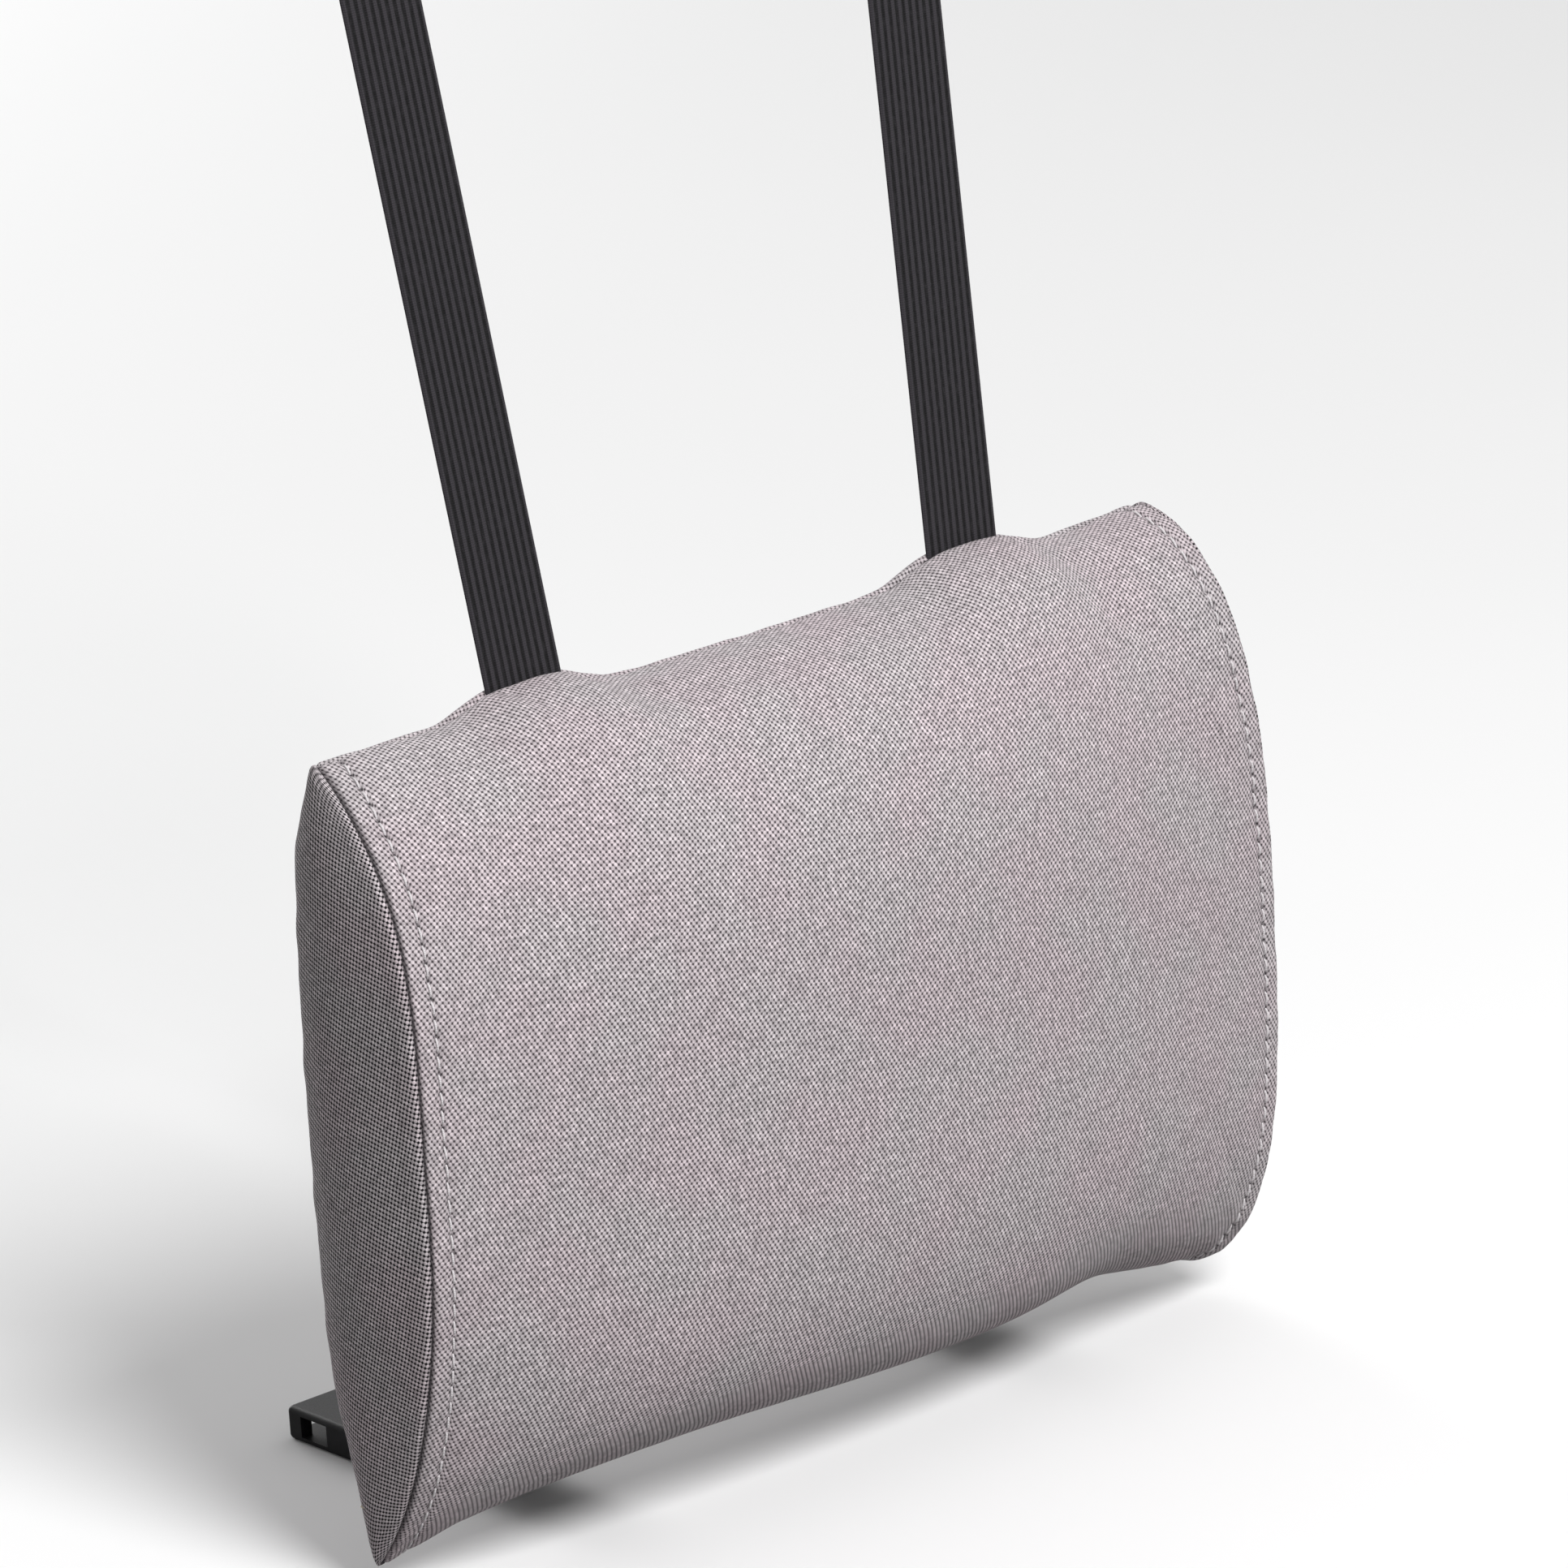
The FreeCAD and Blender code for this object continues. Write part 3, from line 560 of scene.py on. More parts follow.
def coarse_grids(pull):
    """Front, back and gusset grids of the whole cover. pull is how far the straps lift the top seam."""
    cosine = np.cos(np.linspace(0, math.pi, COARSE_ROWS))[:, None]
    across = np.linspace(-1, 1, COARSE_COLS)[None, :]
    corner = np.where(across < 0, *CORNER_PULL)
    x = across * (HALF_W - corner * np.abs(cosine) ** CORNER_FADE)
    top, root, bottom = side_offset(x)
    z = HALF_H * cosine + (top + pull * root) * np.maximum(cosine, 0) ** ROOT_FADE
    below = np.maximum(-cosine, 0)
    tucked = BOTTOM_TUCK * smooth(-x, -30, 60) * (1 - np.abs(across) ** 4) * (1 - below**20)
    front_z = z + (bottom + tucked) * below**ROOT_FADE
    back_z = z + bottom * below**ZIP_KEEP
    rise = 1 - (across + 0 * cosine) ** 2
    depth = FRONT_END + (FRONT_MIDDLE - FRONT_END) * rise
    middle = bulge(cosine, FRONT_MIDDLE_POWERS)
    end = np.where(across < 0, bulge(cosine, FRONT_END_POWERS), bulge(cosine, RIGHT_POWERS))
    front_y = SEAM_Y - depth * (middle + (end - middle) * np.abs(across) ** FILLING_POWER)
    back_y = SEAM_Y + BACK_BULGE * bulge(cosine, BACK_POWERS) + 0 * x
    over = np.maximum(back_y + FLAT_EASE, 0)
    back_y = back_y - over**2 / (over + FLAT_EASE)
    inside = np.minimum(1, (back_y - SEAM_Y) / 12)
    back_y = back_y - END_PRESS * inside * smooth(np.abs(x), END_FROM, END_TO)
    front = np.stack([x, front_y + 0 * x, front_z], -1)
    back = np.stack([x * (1 - GUSSET_ROLL / HALF_W * inside * np.abs(across) ** 3), back_y, back_z], -1)
    gussets = []
    share = np.linspace(0, 1, COARSE_DEPTH)[None, :, None]
    for col, side in ((0, -1), (-1, 1)):
        grid = front[:, col:col + 1 or None] * (1 - share) + back[:, col:col + 1 or None] * share
        sine = np.sqrt(np.maximum(1 - cosine**2, 0)) ** 0.7
        s = share[..., 0]
        rolled = np.abs(front[:, col:col + 1 or None, 0] - back[:, col:col + 1 or None, 0])
        grid[..., 0] += side * (GUSSET_DOME * sine * 4 * s * (1 - s) + rolled * (s - s**5))
        gussets.append(grid)
    return [front, back, *gussets]


def welded(grids):
    """One closed mesh from the grids: (points, faces, where each grid point went)."""
    everything = np.concatenate([g.reshape(-1, 3) for g in grids])
    _, first, where = np.unique(np.round(everything, 4), axis=0, return_index=True, return_inverse=True)
    where = where.ravel()
    faces, start = [], 0
    for g, flip in zip(grids, (False, True, True, False)):
        rows, cols = g.shape[:2]
        for face in where[np.array(grid_faces(rows, cols, flip, start=start))].tolist():
            face = list(dict.fromkeys(face))
            if len(face) > 2:
                faces.append(face)
        start += rows * cols
    return everything[first], faces, where


def split_back(values, where, grids):
    """The welded points' values as grids again."""
    spread, out, start = values[where], [], 0
    for g in grids:
        count = g.shape[0] * g.shape[1]
        out.append(spread[start:start + count].reshape(g.shape[0], g.shape[1], -1))
        start += count
    return out


def vertex_normals(points, faces):
    total = np.zeros_like(points)
    for size in (3, 4):
        chosen = np.array([f for f in faces if len(f) == size])
        if len(chosen):
            corner = points[chosen]
            normal = np.cross(corner[:, 2] - corner[:, 0], corner[:, -1] - corner[:, 1])
            for k in range(size):
                np.add.at(total, chosen[:, k], normal)
    return unit(total)


def simulate(start, target, faces, hold, frames=24, pressure=3.0, share=0.3, cap=2.5):
    """Inflate the cover as cloth held by its foam, while the straps pull its seam from start to target."""
    mesh = bpy.data.meshes.new("cloth_work")
    mesh.from_pydata((start * MM).tolist(), [], faces)
    work = new_object("cloth_work", mesh)
    scene = bpy.context.scene
    work.shape_key_add(name="Basis")
    key = work.shape_key_add(name="pulled")
    key.data.foreach_set("co", (target * MM).ravel())
    for value, frame in ((0.0, 1), (1.0, frames * 2 // 3)):
        key.value = value
        key.keyframe_insert("value", frame=frame)
    group = work.vertex_groups.new(name="hold")
    for level in np.unique(np.round(hold, 2)):
        group.add(np.nonzero(np.round(hold, 2) == level)[0].tolist(), float(level), "REPLACE")
    cloth = work.modifiers.new("Cloth", "CLOTH")
    settings = {
        "quality": 6, "mass": 0.2, "tension_stiffness": 25, "compression_stiffness": 15, "shear_stiffness": 8,
        "bending_stiffness": 0.6, "air_damping": 4, "vertex_group_mass": "hold", "pin_stiffness": 1.0,
        "use_pressure": True, "uniform_pressure_force": pressure,
    }
    for key, value in settings.items():
        setattr(cloth.settings, key, value)
    cloth.settings.effector_weights.gravity = 0
    cloth.collision_settings.use_collision = False
    cloth.point_cache.frame_start = 1
    cloth.point_cache.frame_end = frames
    for step in range(1, frames + 1):
        scene.frame_set(step)
    settled = work.evaluated_get(bpy.context.evaluated_depsgraph_get()).data
    moved = np.zeros(len(start) * 3, np.float32)
    settled.vertices.foreach_get("co", moved)
    moved = moved.reshape(-1, 3) / MM
    bpy.data.objects.remove(work)
    bpy.data.meshes.remove(mesh)
    scene.frame_set(1)
    shift = share * (moved - target)
    length = np.linalg.norm(shift, axis=1, keepdims=True)
    return target + shift * np.minimum(1, cap / np.maximum(length, 1e-6))


def shaped_cover():
    """Grids of the finished cover before its seams and stitches, and their normals."""
    grids = coarse_grids(ROOT_RISE)
    target, faces, where = welded(grids)
    plain = np.concatenate([g.reshape(-1, 3) for g in coarse_grids(0.0)])
    start = np.zeros_like(target)
    start[where] = plain
    top_root = side_offset(target[:, 0])[1] * smooth(target[:, 2], HALF_H - 9, HALF_H - 1)
    behind = smooth(target[:, 1], SEAM_Y - 2, SEAM_Y + 6)
    side = smooth(np.abs(target[:, 0]), HALF_W - 5, HALF_W - 1)
    hold = np.maximum.reduce([0.12 + 0.88 * behind, top_root, 0.12 + 0.5 * side])
    target = simulate(start, target, faces, np.clip(hold, 0, 1))
    target[:, 1] = np.minimum(target[:, 1], 0.0)
    normals = vertex_normals(target, faces)
    return split_back(target, where, grids), split_back(normals, where, grids)


GRIDS, NORMALS = shaped_cover()
FRONT, BACK, LEFT, RIGHT = GRIDS


def lines_between(count, run, step, edges):
    """Fractional indices along a coarse line: even steps of real length, closer together at the edges."""
    if edges:
        near = np.array([0, 0.25, 0.5, 0.8, 1.2, 1.7, 2.3, 3.0, 3.8, 4.6,
                         5.4, 5.9, 6.3, 6.7, 7.1, 7.6, 8.3, 9.2, 10.4, 12.0])
        border = near[-1] + 2.0
        inner = np.linspace(border, run[-1] - border, int((run[-1] - 2 * border) / step) + 1)
        places = np.concatenate([near, inner, run[-1] - near[::-1]])
    else:
        places = np.linspace(0, run[-1], int(run[-1] / step) + 1)
    return np.interp(places, run, np.arange(count))


ROW_RUN = run_lengths(FRONT[:, COARSE_COLS // 2], 0)
COL_RUN = run_lengths(FRONT[COARSE_ROWS // 2], 0)
COLS = lines_between(COARSE_COLS, COL_RUN, 2.6, True)
ZIP_ROW = (COARSE_ROWS - 1) * math.acos(ZIP_Z / HALF_H) / math.pi
ROWS = lines_between(COARSE_ROWS, ROW_RUN, 1.15, False)
ROWS[np.argmin(np.abs(ROWS - ZIP_ROW))] = ZIP_ROW
EDGE_ROWS = np.interp([0.3, 0.7, 1.6], ROW_RUN, np.arange(COARSE_ROWS))
ROWS = np.unique(np.concatenate([ROWS, EDGE_ROWS, COARSE_ROWS - 1 - EDGE_ROWS]))
ZIP_INDEX = int(np.argmin(np.abs(ROWS - ZIP_ROW)))


def seam_profile(distance, raised):
    """Relief beside a seam: rolled in at the seam, then a band where the seam allowance lies under."""
    return -1.5 * bell(distance, 0.8) + raised * smooth(distance, 0.8, 2.2) * (1 - smooth(distance, 5.2, 7.5))


def pucker(run, distance, seed, reach=14.0):
    """Small gathers beside a seam, fading away from it."""
    ripple = np.sin(run / 2.9 + seed) + 0.7 * np.sin(run / 1.9 + 2.1 * seed) + 0.8 * np.sin(run / 5.3 - seed)
    return 0.11 * ripple * np.exp(-distance / reach)


def stitch_relief(distance, run):
    """Groove pulled in by the topstitch, deepest at the needle holes, puffed on its far side."""
    beat = 0.5 - 0.5 * np.cos(2 * math.pi * run / STITCH_PITCH)
    groove = -(0.18 + 0.40 * beat) * bell(distance - STITCH_LINE, 0.8)
    puff = 0.30 * smooth(distance, STITCH_LINE + 0.6, STITCH_LINE + 4) * (1 - smooth(distance, 12, 24))
    return groove + puff


def needle_holes(distance, run):
    # Painted shade in the needle holes: a mask, strongest at each hole, that the front adds to its 'shade'
    # attribute.
    place = run % STITCH_PITCH - STITCH_PITCH / 2
    return bell(place, 0.9) * bell(distance - STITCH_LINE, 0.75)


def creases(x, down):
    """Folds drawn down from the ends of each strap's root in the top seam."""
    total = np.zeros_like(x)
    for centre, lean, tall, width, reach in (
        (-STRAP_X - 17, 0.45, 1.0, 4.5, 26), (-STRAP_X + 15, 0.75, -0.8, 4.0, 22),
        (-STRAP_X - 8, 0.2, -0.6, 4.0, 18), (STRAP_X - 18, 0.35, 0.9, 4.5, 26),
        (STRAP_X + 15, 0.30, -0.9, 4.0, 24), (STRAP_X + 4, 0.1, 0.4, 5.0, 30),
        (-20, -0.1, 0.35, 6.0, 26), (24, 0.2, -0.3, 6.0, 22),
        (-STRAP_X - 13, 0.5, -1.3, 2.3, 15), (-STRAP_X + 13, 0.55, -1.3, 2.3, 14),
        (STRAP_X - 14, 0.3, -1.1, 2.3, 13), (STRAP_X + 14, 0.45, -1.2, 2.3, 14),
    ):
        total += tall * bell(x - centre - lean * down, width + 0.12 * down) * np.exp(-down / reach) \
            * smooth(down, 0.5, 5)
    return total


def cloth_coordinates(points, panel):
    across = run_lengths(points, 1)
    along = run_lengths(points, 0)
    across = across - across[:, across.shape[1] // 2:across.shape[1] // 2 + 1]
    along = along - along[along.shape[0] // 2:along.shape[0] // 2 + 1]
    return np.stack([across, along, np.full_like(across, 40.0 * panel)], -1)


def line_along(distance, points, normals, at):
    """Surface points and normals at one distance from an edge; each row's distances grow."""
    lines = [[[np.interp(at, row, place[:, k]) for k in range(3)] for row, place in zip(distance, values)]
             for values in (points, normals)]
    return np.array(lines)


def front_panel():
    points = resample(FRONT, ROWS, COLS)
    normals = unit(resample(NORMALS[0], ROWS, COLS))
    across, along = run_lengths(points, 1), run_lengths(points, 0)
    left, right = across, across[:, -1:] - across
    top, bottom = along, along[-1:] - along
    relief = creases(points[..., 0], top)
    shade = np.zeros_like(relief)
    for distance, seed in ((left, 0.4), (right, 2.3)):
        relief += seam_profile(distance, 0.18) + pucker(along, distance, seed)
        relief += stitch_relief(distance, along)
        # Painted shade along both side seams: a dark line in the seam groove and dark needle holes on the
        # stitch line.
        dashes = 0.88 + 0.12 * np.sin(along * 2.3 + 2 * np.sin(along / 3.1))
        shade += dashes * bell(distance, 0.95) + 0.95 * needle_holes(distance, along)
    for distance, seed in ((top, 1.1), (bottom, 3.7)):
        relief += -1.3 * bell(distance, 1.3) + pucker(across, distance, seed, 9.0)
        # Painted shade: a dark line along the top and bottom seams.
        shade += 0.75 * bell(distance, 0.6)
    points = points + normals * relief[..., None]
    cloth = cloth_coordinates(points, 0)
    faces = grid_faces(*points.shape[:2])
    piece = make_piece("cover_front", points, faces, FABRIC, "cushion", cloth,
                       np.clip(shade, 0, 1))
    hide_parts("front_panel")
    rows = slice(4, -4)
    phase = (STITCH_PITCH - STITCH_LENGTH / 2 - float(np.mean(along[4, :3]))) / STITCH_PITCH % 1.0
    for name, distance, order in (("left", left, 1), ("right", right, -1)):
        part = (rows, slice(None, None, order))
        line, up = line_along(distance[part], points[part], normals[part], STITCH_LINE)
        stitch_row("topstitch_" + name, line, up, THREAD, "cushion", phase=phase)


def gusset_cloth(points, panel):
    """The gussets are cut with the twill lying nearly level."""
    cloth = cloth_coordinates(points, panel)
    across, along = cloth[..., 0].copy(), cloth[..., 1].copy()
    cloth[..., 0] = across * math.cos(GUSSET_GRAIN) + along * math.sin(GUSSET_GRAIN)
    cloth[..., 1] = along * math.cos(GUSSET_GRAIN) - across * math.sin(GUSSET_GRAIN)
    return cloth


def gusset_panel(name, grid, normal_grid, flip, panel):
    cols = lines_between(COARSE_DEPTH, run_lengths(grid[COARSE_ROWS // 2], 0), 2.6, True)
    points = resample(grid, ROWS, cols)
    normals = unit(resample(normal_grid, ROWS, cols))
    across, along = run_lengths(points, 1), run_lengths(points, 0)
    wide = np.clip(across[:, -1:] / 14.0, 0, 1)
    relief = np.zeros_like(across)
    shade = np.zeros_like(across)
    for distance, seed in ((across, 0.9), (across[:, -1:] - across, 2.9)):
        relief += seam_profile(distance, 0.12) + wide * pucker(along, distance, seed, 10.0)
        # Painted shade: a dark line along both seams of the gusset.
        dashes = 0.75 + 0.25 * np.sin(along * 2.1 + 2 * np.sin(along / 3.7))
        shade += dashes * bell(distance, 0.5)
    middle = np.sin(math.pi * across / np.maximum(across[:, -1:], 1))
    relief = relief + wide * 0.35 * np.sin(along / 17.0 + panel) * middle
    edge = np.minimum(across, across[:, -1:] - across)
    relief = np.where(edge < 0.9, relief, relief * (0.3 + 0.7 * wide))
    points = points + normals * relief[..., None]
    faces = grid_faces(*points.shape[:2], flip=flip)
    piece = make_piece("cover_" + name, points, faces, END_FABRIC, "cushion",
                       gusset_cloth(points, panel), np.clip(shade, 0, 1))
    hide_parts(name)


def back_panels():
    """Two panels that meet at the zip, with their folded edges standing apart over the coil."""
    across_weights = spline_weights(COARSE_COLS, COLS)
    grid = np.einsum("cj,ijk->ick", across_weights, BACK)
    normal_grid = np.einsum("cj,ijk->ick", across_weights, NORMALS[1])
    middle_run = run_lengths(BACK[:, COARSE_COLS // 2], 0)
    index = np.arange(COARSE_ROWS)
    zip_run = np.interp(ZIP_ROW, index, middle_run)
    halves = (("upper", ROWS[:ZIP_INDEX + 1], -1, 3), ("lower", ROWS[ZIP_INDEX:], 1, 4))
    for name, rows, side, panel in halves:
        base_run = np.interp(rows, index, middle_run)
        near = 1 - smooth(np.abs(base_run - zip_run), 0.0, 16.0)
        columns, column_normals = [], []
        for c in range(len(COLS)):
            x = grid[COARSE_ROWS // 2, c, 0]
            opening = (ZIP_WINDOW + 0.2) * smooth(ZIP_WINDOW_END + 3 - abs(x), 0, 5)
            moved = base_run + side * opening * near
            weights = spline_weights(COARSE_ROWS, np.interp(moved, middle_run, index))
            columns.append(weights @ grid[:, c])
            column_normals.append(weights @ normal_grid[:, c])
        points = np.stack(columns, 1)
        normals = unit(np.stack(column_normals, 1))
        across, along = run_lengths(points, 1), run_lengths(points, 0)
        relief = np.zeros_like(across)
        shade = np.zeros_like(across)
        for distance, seed in ((across, 0.7), (across[:, -1:] - across, 1.9)):
            relief += seam_profile(distance, 0.1) + pucker(along, distance, seed, 9.0)
            # Painted shade: a dark line along both side seams.
            shade += 0.85 * bell(distance, 0.55)
        seam = along if side < 0 else along[-1:] - along
        hem = along[-1:] - along if side < 0 else along
        relief += -1.3 * bell(seam, 1.3) + pucker(across, seam, 4.4, 9.0)
        relief += -0.9 * bell(hem, 0.6) + 0.35 * smooth(hem, 0.4, 1.4) * (1 - smooth(hem, 6, 9))
        relief += pucker(across, hem, 5.0, 6.0) - 0.3 * bell(hem - HEM_STITCH, 0.8)
        # Painted shade: a dark line along the top or bottom seam.
        shade += 0.5 * bell(seam, 0.5)
        points = points + normals * relief[..., None]
        points[..., 1] = np.minimum(points[..., 1], 0.0)
        edge = 0 if side > 0 else -1
        under = -normals[edge] + np.array([0, 0, -side * 0.25])
        stack = np.stack([points[edge] + under * depth for depth in (0.5, 1.1, 1.9)])
        points = np.concatenate([stack[::-1], points] if side > 0 else [points, stack])
        shade = np.pad(shade, ((3, 0) if side > 0 else (0, 3), (0, 0)), "edge")
        faces = grid_faces(*points.shape[:2], flip=True)
        piece = make_piece("cover_back_" + name, points, faces, FABRIC, "cushion",
                           cloth_coordinates(points, panel), np.clip(shade, 0, 1))
        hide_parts("back_panel_" + name)
        body = points[3:] if side > 0 else points[:-3]
        keep = np.nonzero(np.abs(body[0, :, 0]) < ZIP_WINDOW_END + 8)[0]
        columns = [np.swapaxes(values[::side][:, keep], 0, 1) for values in (hem, body, normals)]
        line, up = line_along(*columns, HEM_STITCH)
        stitch_row("zip_topstitch_" + name, line, up, THREAD, "cushion",
                   pitch=3.4, length=2.6)


def inner_form(name, node, inset, material, panel):
    """The liner or the foam: the cover's own form, drawn in by an even gap."""
    points, faces, _ = welded(GRIDS)
    normals = vertex_normals(points, faces)
    points = points - normals * inset
    span = np.abs(points).max(0)
    points[:, 2] *= (span[2] - 1.2 * inset) / span[2]
    cloth = np.stack([points[:, 0] + points[:, 1], points[:, 2], np.full(len(points), 40.0 * panel)], -1)
    piece = make_piece(name, points, faces, material, "cushion", cloth)
    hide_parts(node)


# ---- zip ----
def back_depth(z):
    return float(SEAM_Y + BACK_BULGE * bulge(np.array(z / HALF_H), BACK_POWERS))


ZIP_TILT = math.atan2(back_depth(ZIP_Z + 0.1) - back_depth(ZIP_Z), 0.1)
ZIP_ORIGIN = np.array([0, back_depth(ZIP_Z), ZIP_Z])
ZIP_OUT = np.array([0, math.cos(ZIP_TILT), -math.sin(ZIP_TILT)])
ZIP_UP = np.array([0, math.sin(ZIP_TILT), math.cos(ZIP_TILT)])


def on_zip(x, out, up):
    """A point of the zip from its place along, out of and up across it."""
    x, out, up = np.broadcast_arrays(*(np.asarray(v, float)[..., None] for v in (x, out, up)))
    return ZIP_ORIGIN + x * np.array([1.0, 0, 0]) + out * ZIP_OUT + up * ZIP_UP


def zip_pieces():
    bottom = COIL_OUTER - COIL_THICKNESS
    half_tape = (TAPE_BOX[1][0] - TAPE_BOX[0][0]) / 2
    for name, side in (("upper", 1), ("lower", -1)):
        x = np.linspace(-half_tape, half_tape, 180)[:, None]
        reach = np.array([0.6, 0.75, 2.0, 3.3, 4.0, 5.0, 6.5, 8.0, 8.9, 9.0])
        top = bottom + np.array([-0.25, 0.0, 0.02, 0.05, -0.02, 0.0, 0.0, 0.0, -0.03, -0.25])
        outline = np.concatenate([reach, reach[::-1]])
        level = np.concatenate([top, np.full(len(reach), bottom - TAPE_THICKNESS)])
        sag = 0.05 * np.sin(x / 6.0)
        points = on_zip(x, level + sag, side * outline)
        rows, cols = points.shape[:2]
        faces = grid_faces(rows, cols, flip=side < 0, wrap=True)
        faces += [list(range(cols))[::side], list(range((rows - 1) * cols, rows * cols))[::-side]]
        cloth = np.stack(np.broadcast_arrays(side * outline, x, 0.0), -1)
        tape = make_piece("tape_" + name, points, faces, TAPE, "cushion", cloth)
        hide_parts("zip_tape_" + name)
        coil(name, side)
    x = np.linspace(-COIL_HALF_LENGTH, COIL_HALF_LENGTH, 300)
    level = COIL_OUTER - 0.55 + 0.06 * np.sin(x * 2.1)
    for name, side in (("upper", 1), ("lower", -1)):
        line = on_zip(x, level, side * (2.35 + 0.10 * np.sin(x * 4.2))) + 0.25 * ZIP_OUT
        up = np.broadcast_to(ZIP_OUT, line.shape)
        stitch_row("coil_stitch_" + name, line, up, THREAD, "cushion", pitch=1.5,
                   length=1.35, radius=0.16)


def coil(name, side):
    """Nylon coil: one flat loop for each tooth, meeting the other half's loops along the middle."""
    pitch = SLIDER_TRAVEL / TEETH_PASSED
    centres = np.arange(-COIL_HALF_LENGTH + 1, COIL_HALF_LENGTH - 1, pitch) + (0.0 if side > 0 else pitch / 2)
    high, low = COIL_OUTER - 0.42, COIL_OUTER - COIL_THICKNESS + 0.42
    middle = (high + low) / 2
    loop = np.array([
        (-0.26, high - 0.25, 3.0), (-0.26, high, 2.5), (-0.24, high, 1.4), (-0.12, high, 0.35),
        (0.0, high - 0.15, -0.30), (0.05, middle, -0.62), (0.1, low + 0.15, -0.30),
        (0.18, low, 0.35), (0.24, low, 1.4), (0.28, low, 2.5), (0.28, low + 0.25, 3.0),
    ])
    lines = on_zip(centres[:, None] + loop[:, 0], loop[:, 1], side * loop[:, 2])
    thick = np.array([0.30, 0.33, 0.34, 0.38, 0.46, 0.48, 0.46, 0.38, 0.34, 0.33, 0.30])
    normals = np.broadcast_to(np.array([1.0, 0, 0]), lines.shape)
    points, faces = sweep(lines, normals, thick, 7)
    piece = make_piece("coil_" + name, points, faces, COIL, "cushion")
    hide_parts("zip_coil_" + name)


# ---- straps ----
def strap_line(start, heading, steps):
    """Points (y, z, heading) of a strap's edge view. A step is a length or (radius, turn in degrees)."""
    y, z = start
    angle = math.radians(heading)
    out = [(y, z, angle)]
    for step in steps:
        if isinstance(step, tuple):
            radius, turn = step[0], math.radians(step[1])
            sign = math.copysign(1, turn)
            cy, cz = y - sign * radius * math.sin(angle), z + sign * radius * math.cos(angle)
            count = max(6, int(abs(step[1]) / 5))
            for k in range(1, count + 1):
                a = angle + turn * k / count
                out.append((cy + sign * radius * math.sin(a), cz - sign * radius * math.cos(a), a))
            y, z, angle = out[-1]
        else:
            count = max(2, int(step / 3.0))
            for k in range(1, count + 1):
                share = step * k / count
                out.append((y + share * math.cos(angle), z + share * math.sin(angle), angle))
            y, z, angle = out[-1]
    return np.array(out)


def webbing(name, line, x_middle, body):
    """Ribbed elastic webbing along a line, with rounded selvedges and closed ends."""
    half = STRAP_WIDTH / 2
    ribs = np.linspace(-half + 1.3, half - 1.3, 73)
    rim = np.array([half - SELVEDGE, half - 0.25, half])
    across = np.concatenate([-rim[::-1], ribs, rim])
    rib = 0.30 * (np.abs(np.cos(math.pi * across / RIB_PITCH)) ** 0.8 - 1.0)
    rib = np.where(np.abs(across) > half - 1.2, -0.12, rib)
    beyond = np.maximum(np.abs(across) - (half - SELVEDGE), 0) / SELVEDGE
    reach = (STRAP_THICKNESS / 2 + rib) * np.sqrt(np.clip(1 - beyond**2, 0.02, 1))
    x_middle = np.broadcast_to(x_middle, len(line))
    y, z, angle = line.T
    out = np.stack([np.zeros_like(angle), -np.sin(angle), np.cos(angle)], -1)
    centre = np.stack([x_middle, y, z], -1)
    loops = []
    for side, order in ((1, slice(None)), (-1, slice(None, None, -1))):
        strip = centre[:, None, :] + side * reach[None, order, None] * out[:, None, :]
        strip[..., 0] += across[order][None, :]
        loops.append(strip)
    points = np.concatenate(loops, 1)
    along = run_lengths(centre, 0)
    around = np.concatenate([across, across[::-1]])
    cloth = np.stack(np.broadcast_arrays(around, along[:, None], 0.0), -1)
    rows, cols = points.shape[:2]
    faces = grid_faces(rows, cols, wrap=True)
    half_cols = cols // 2
    for first, turn in ((0, 1), ((rows - 1) * cols, -1)):
        for k in range(half_cols - 1):
            face = [first + k, first + k + 1, first + cols - 2 - k, first + cols - 1 - k]
            faces.append(face[::turn])
    return make_piece(name, points, faces, WEBBING, body, cloth)


def upper_line():
    """The upper strap's edge view and the middle of its width at each point."""
    turn_y = REAR_Y - TAUT_RADIUS
    dy, dz = turn_y - SEAM_Y, TURN_Z - HALF_H
    lean = math.atan2(dy, dz) - math.asin(TAUT_RADIUS / math.hypot(dy, dz))
    top_y = turn_y - TAUT_RADIUS * math.cos(lean)
    top_z = TURN_Z + TAUT_RADIUS * math.sin(lean)
    tail = strap_line((SEAM_Y, HALF_H - SEWN_TAIL), 90, [SEWN_TAIL])
    count = 60
    share = np.arange(1, count + 1)[:, None] / count
    low = np.array([[SEAM_Y, HALF_H, math.pi / 2]])
    high = np.array([[top_y, top_z, math.pi / 2 - lean]])
    run = low + share * (high - low)
    run[:, 2] = math.pi / 2 - lean * smooth(share[:, 0], 0, 0.06)
    turn = 180 - math.degrees(lean)
    steps = [(TAUT_RADIUS, -turn), TURN_Z - MALE_BAR_Z, (LOOP_RADIUS, 180), LOOP_TAIL]
    rear = strap_line((top_y, top_z), 90 - math.degrees(lean), steps)[1:]
    line = np.concatenate([tail, run, rear])
    spread = STRAP_X + share[:, 0] * (TOP_X - STRAP_X)
    middle = np.concatenate([np.full(len(tail), STRAP_X), spread, np.full(len(rear), TOP_X)])
    return line, middle


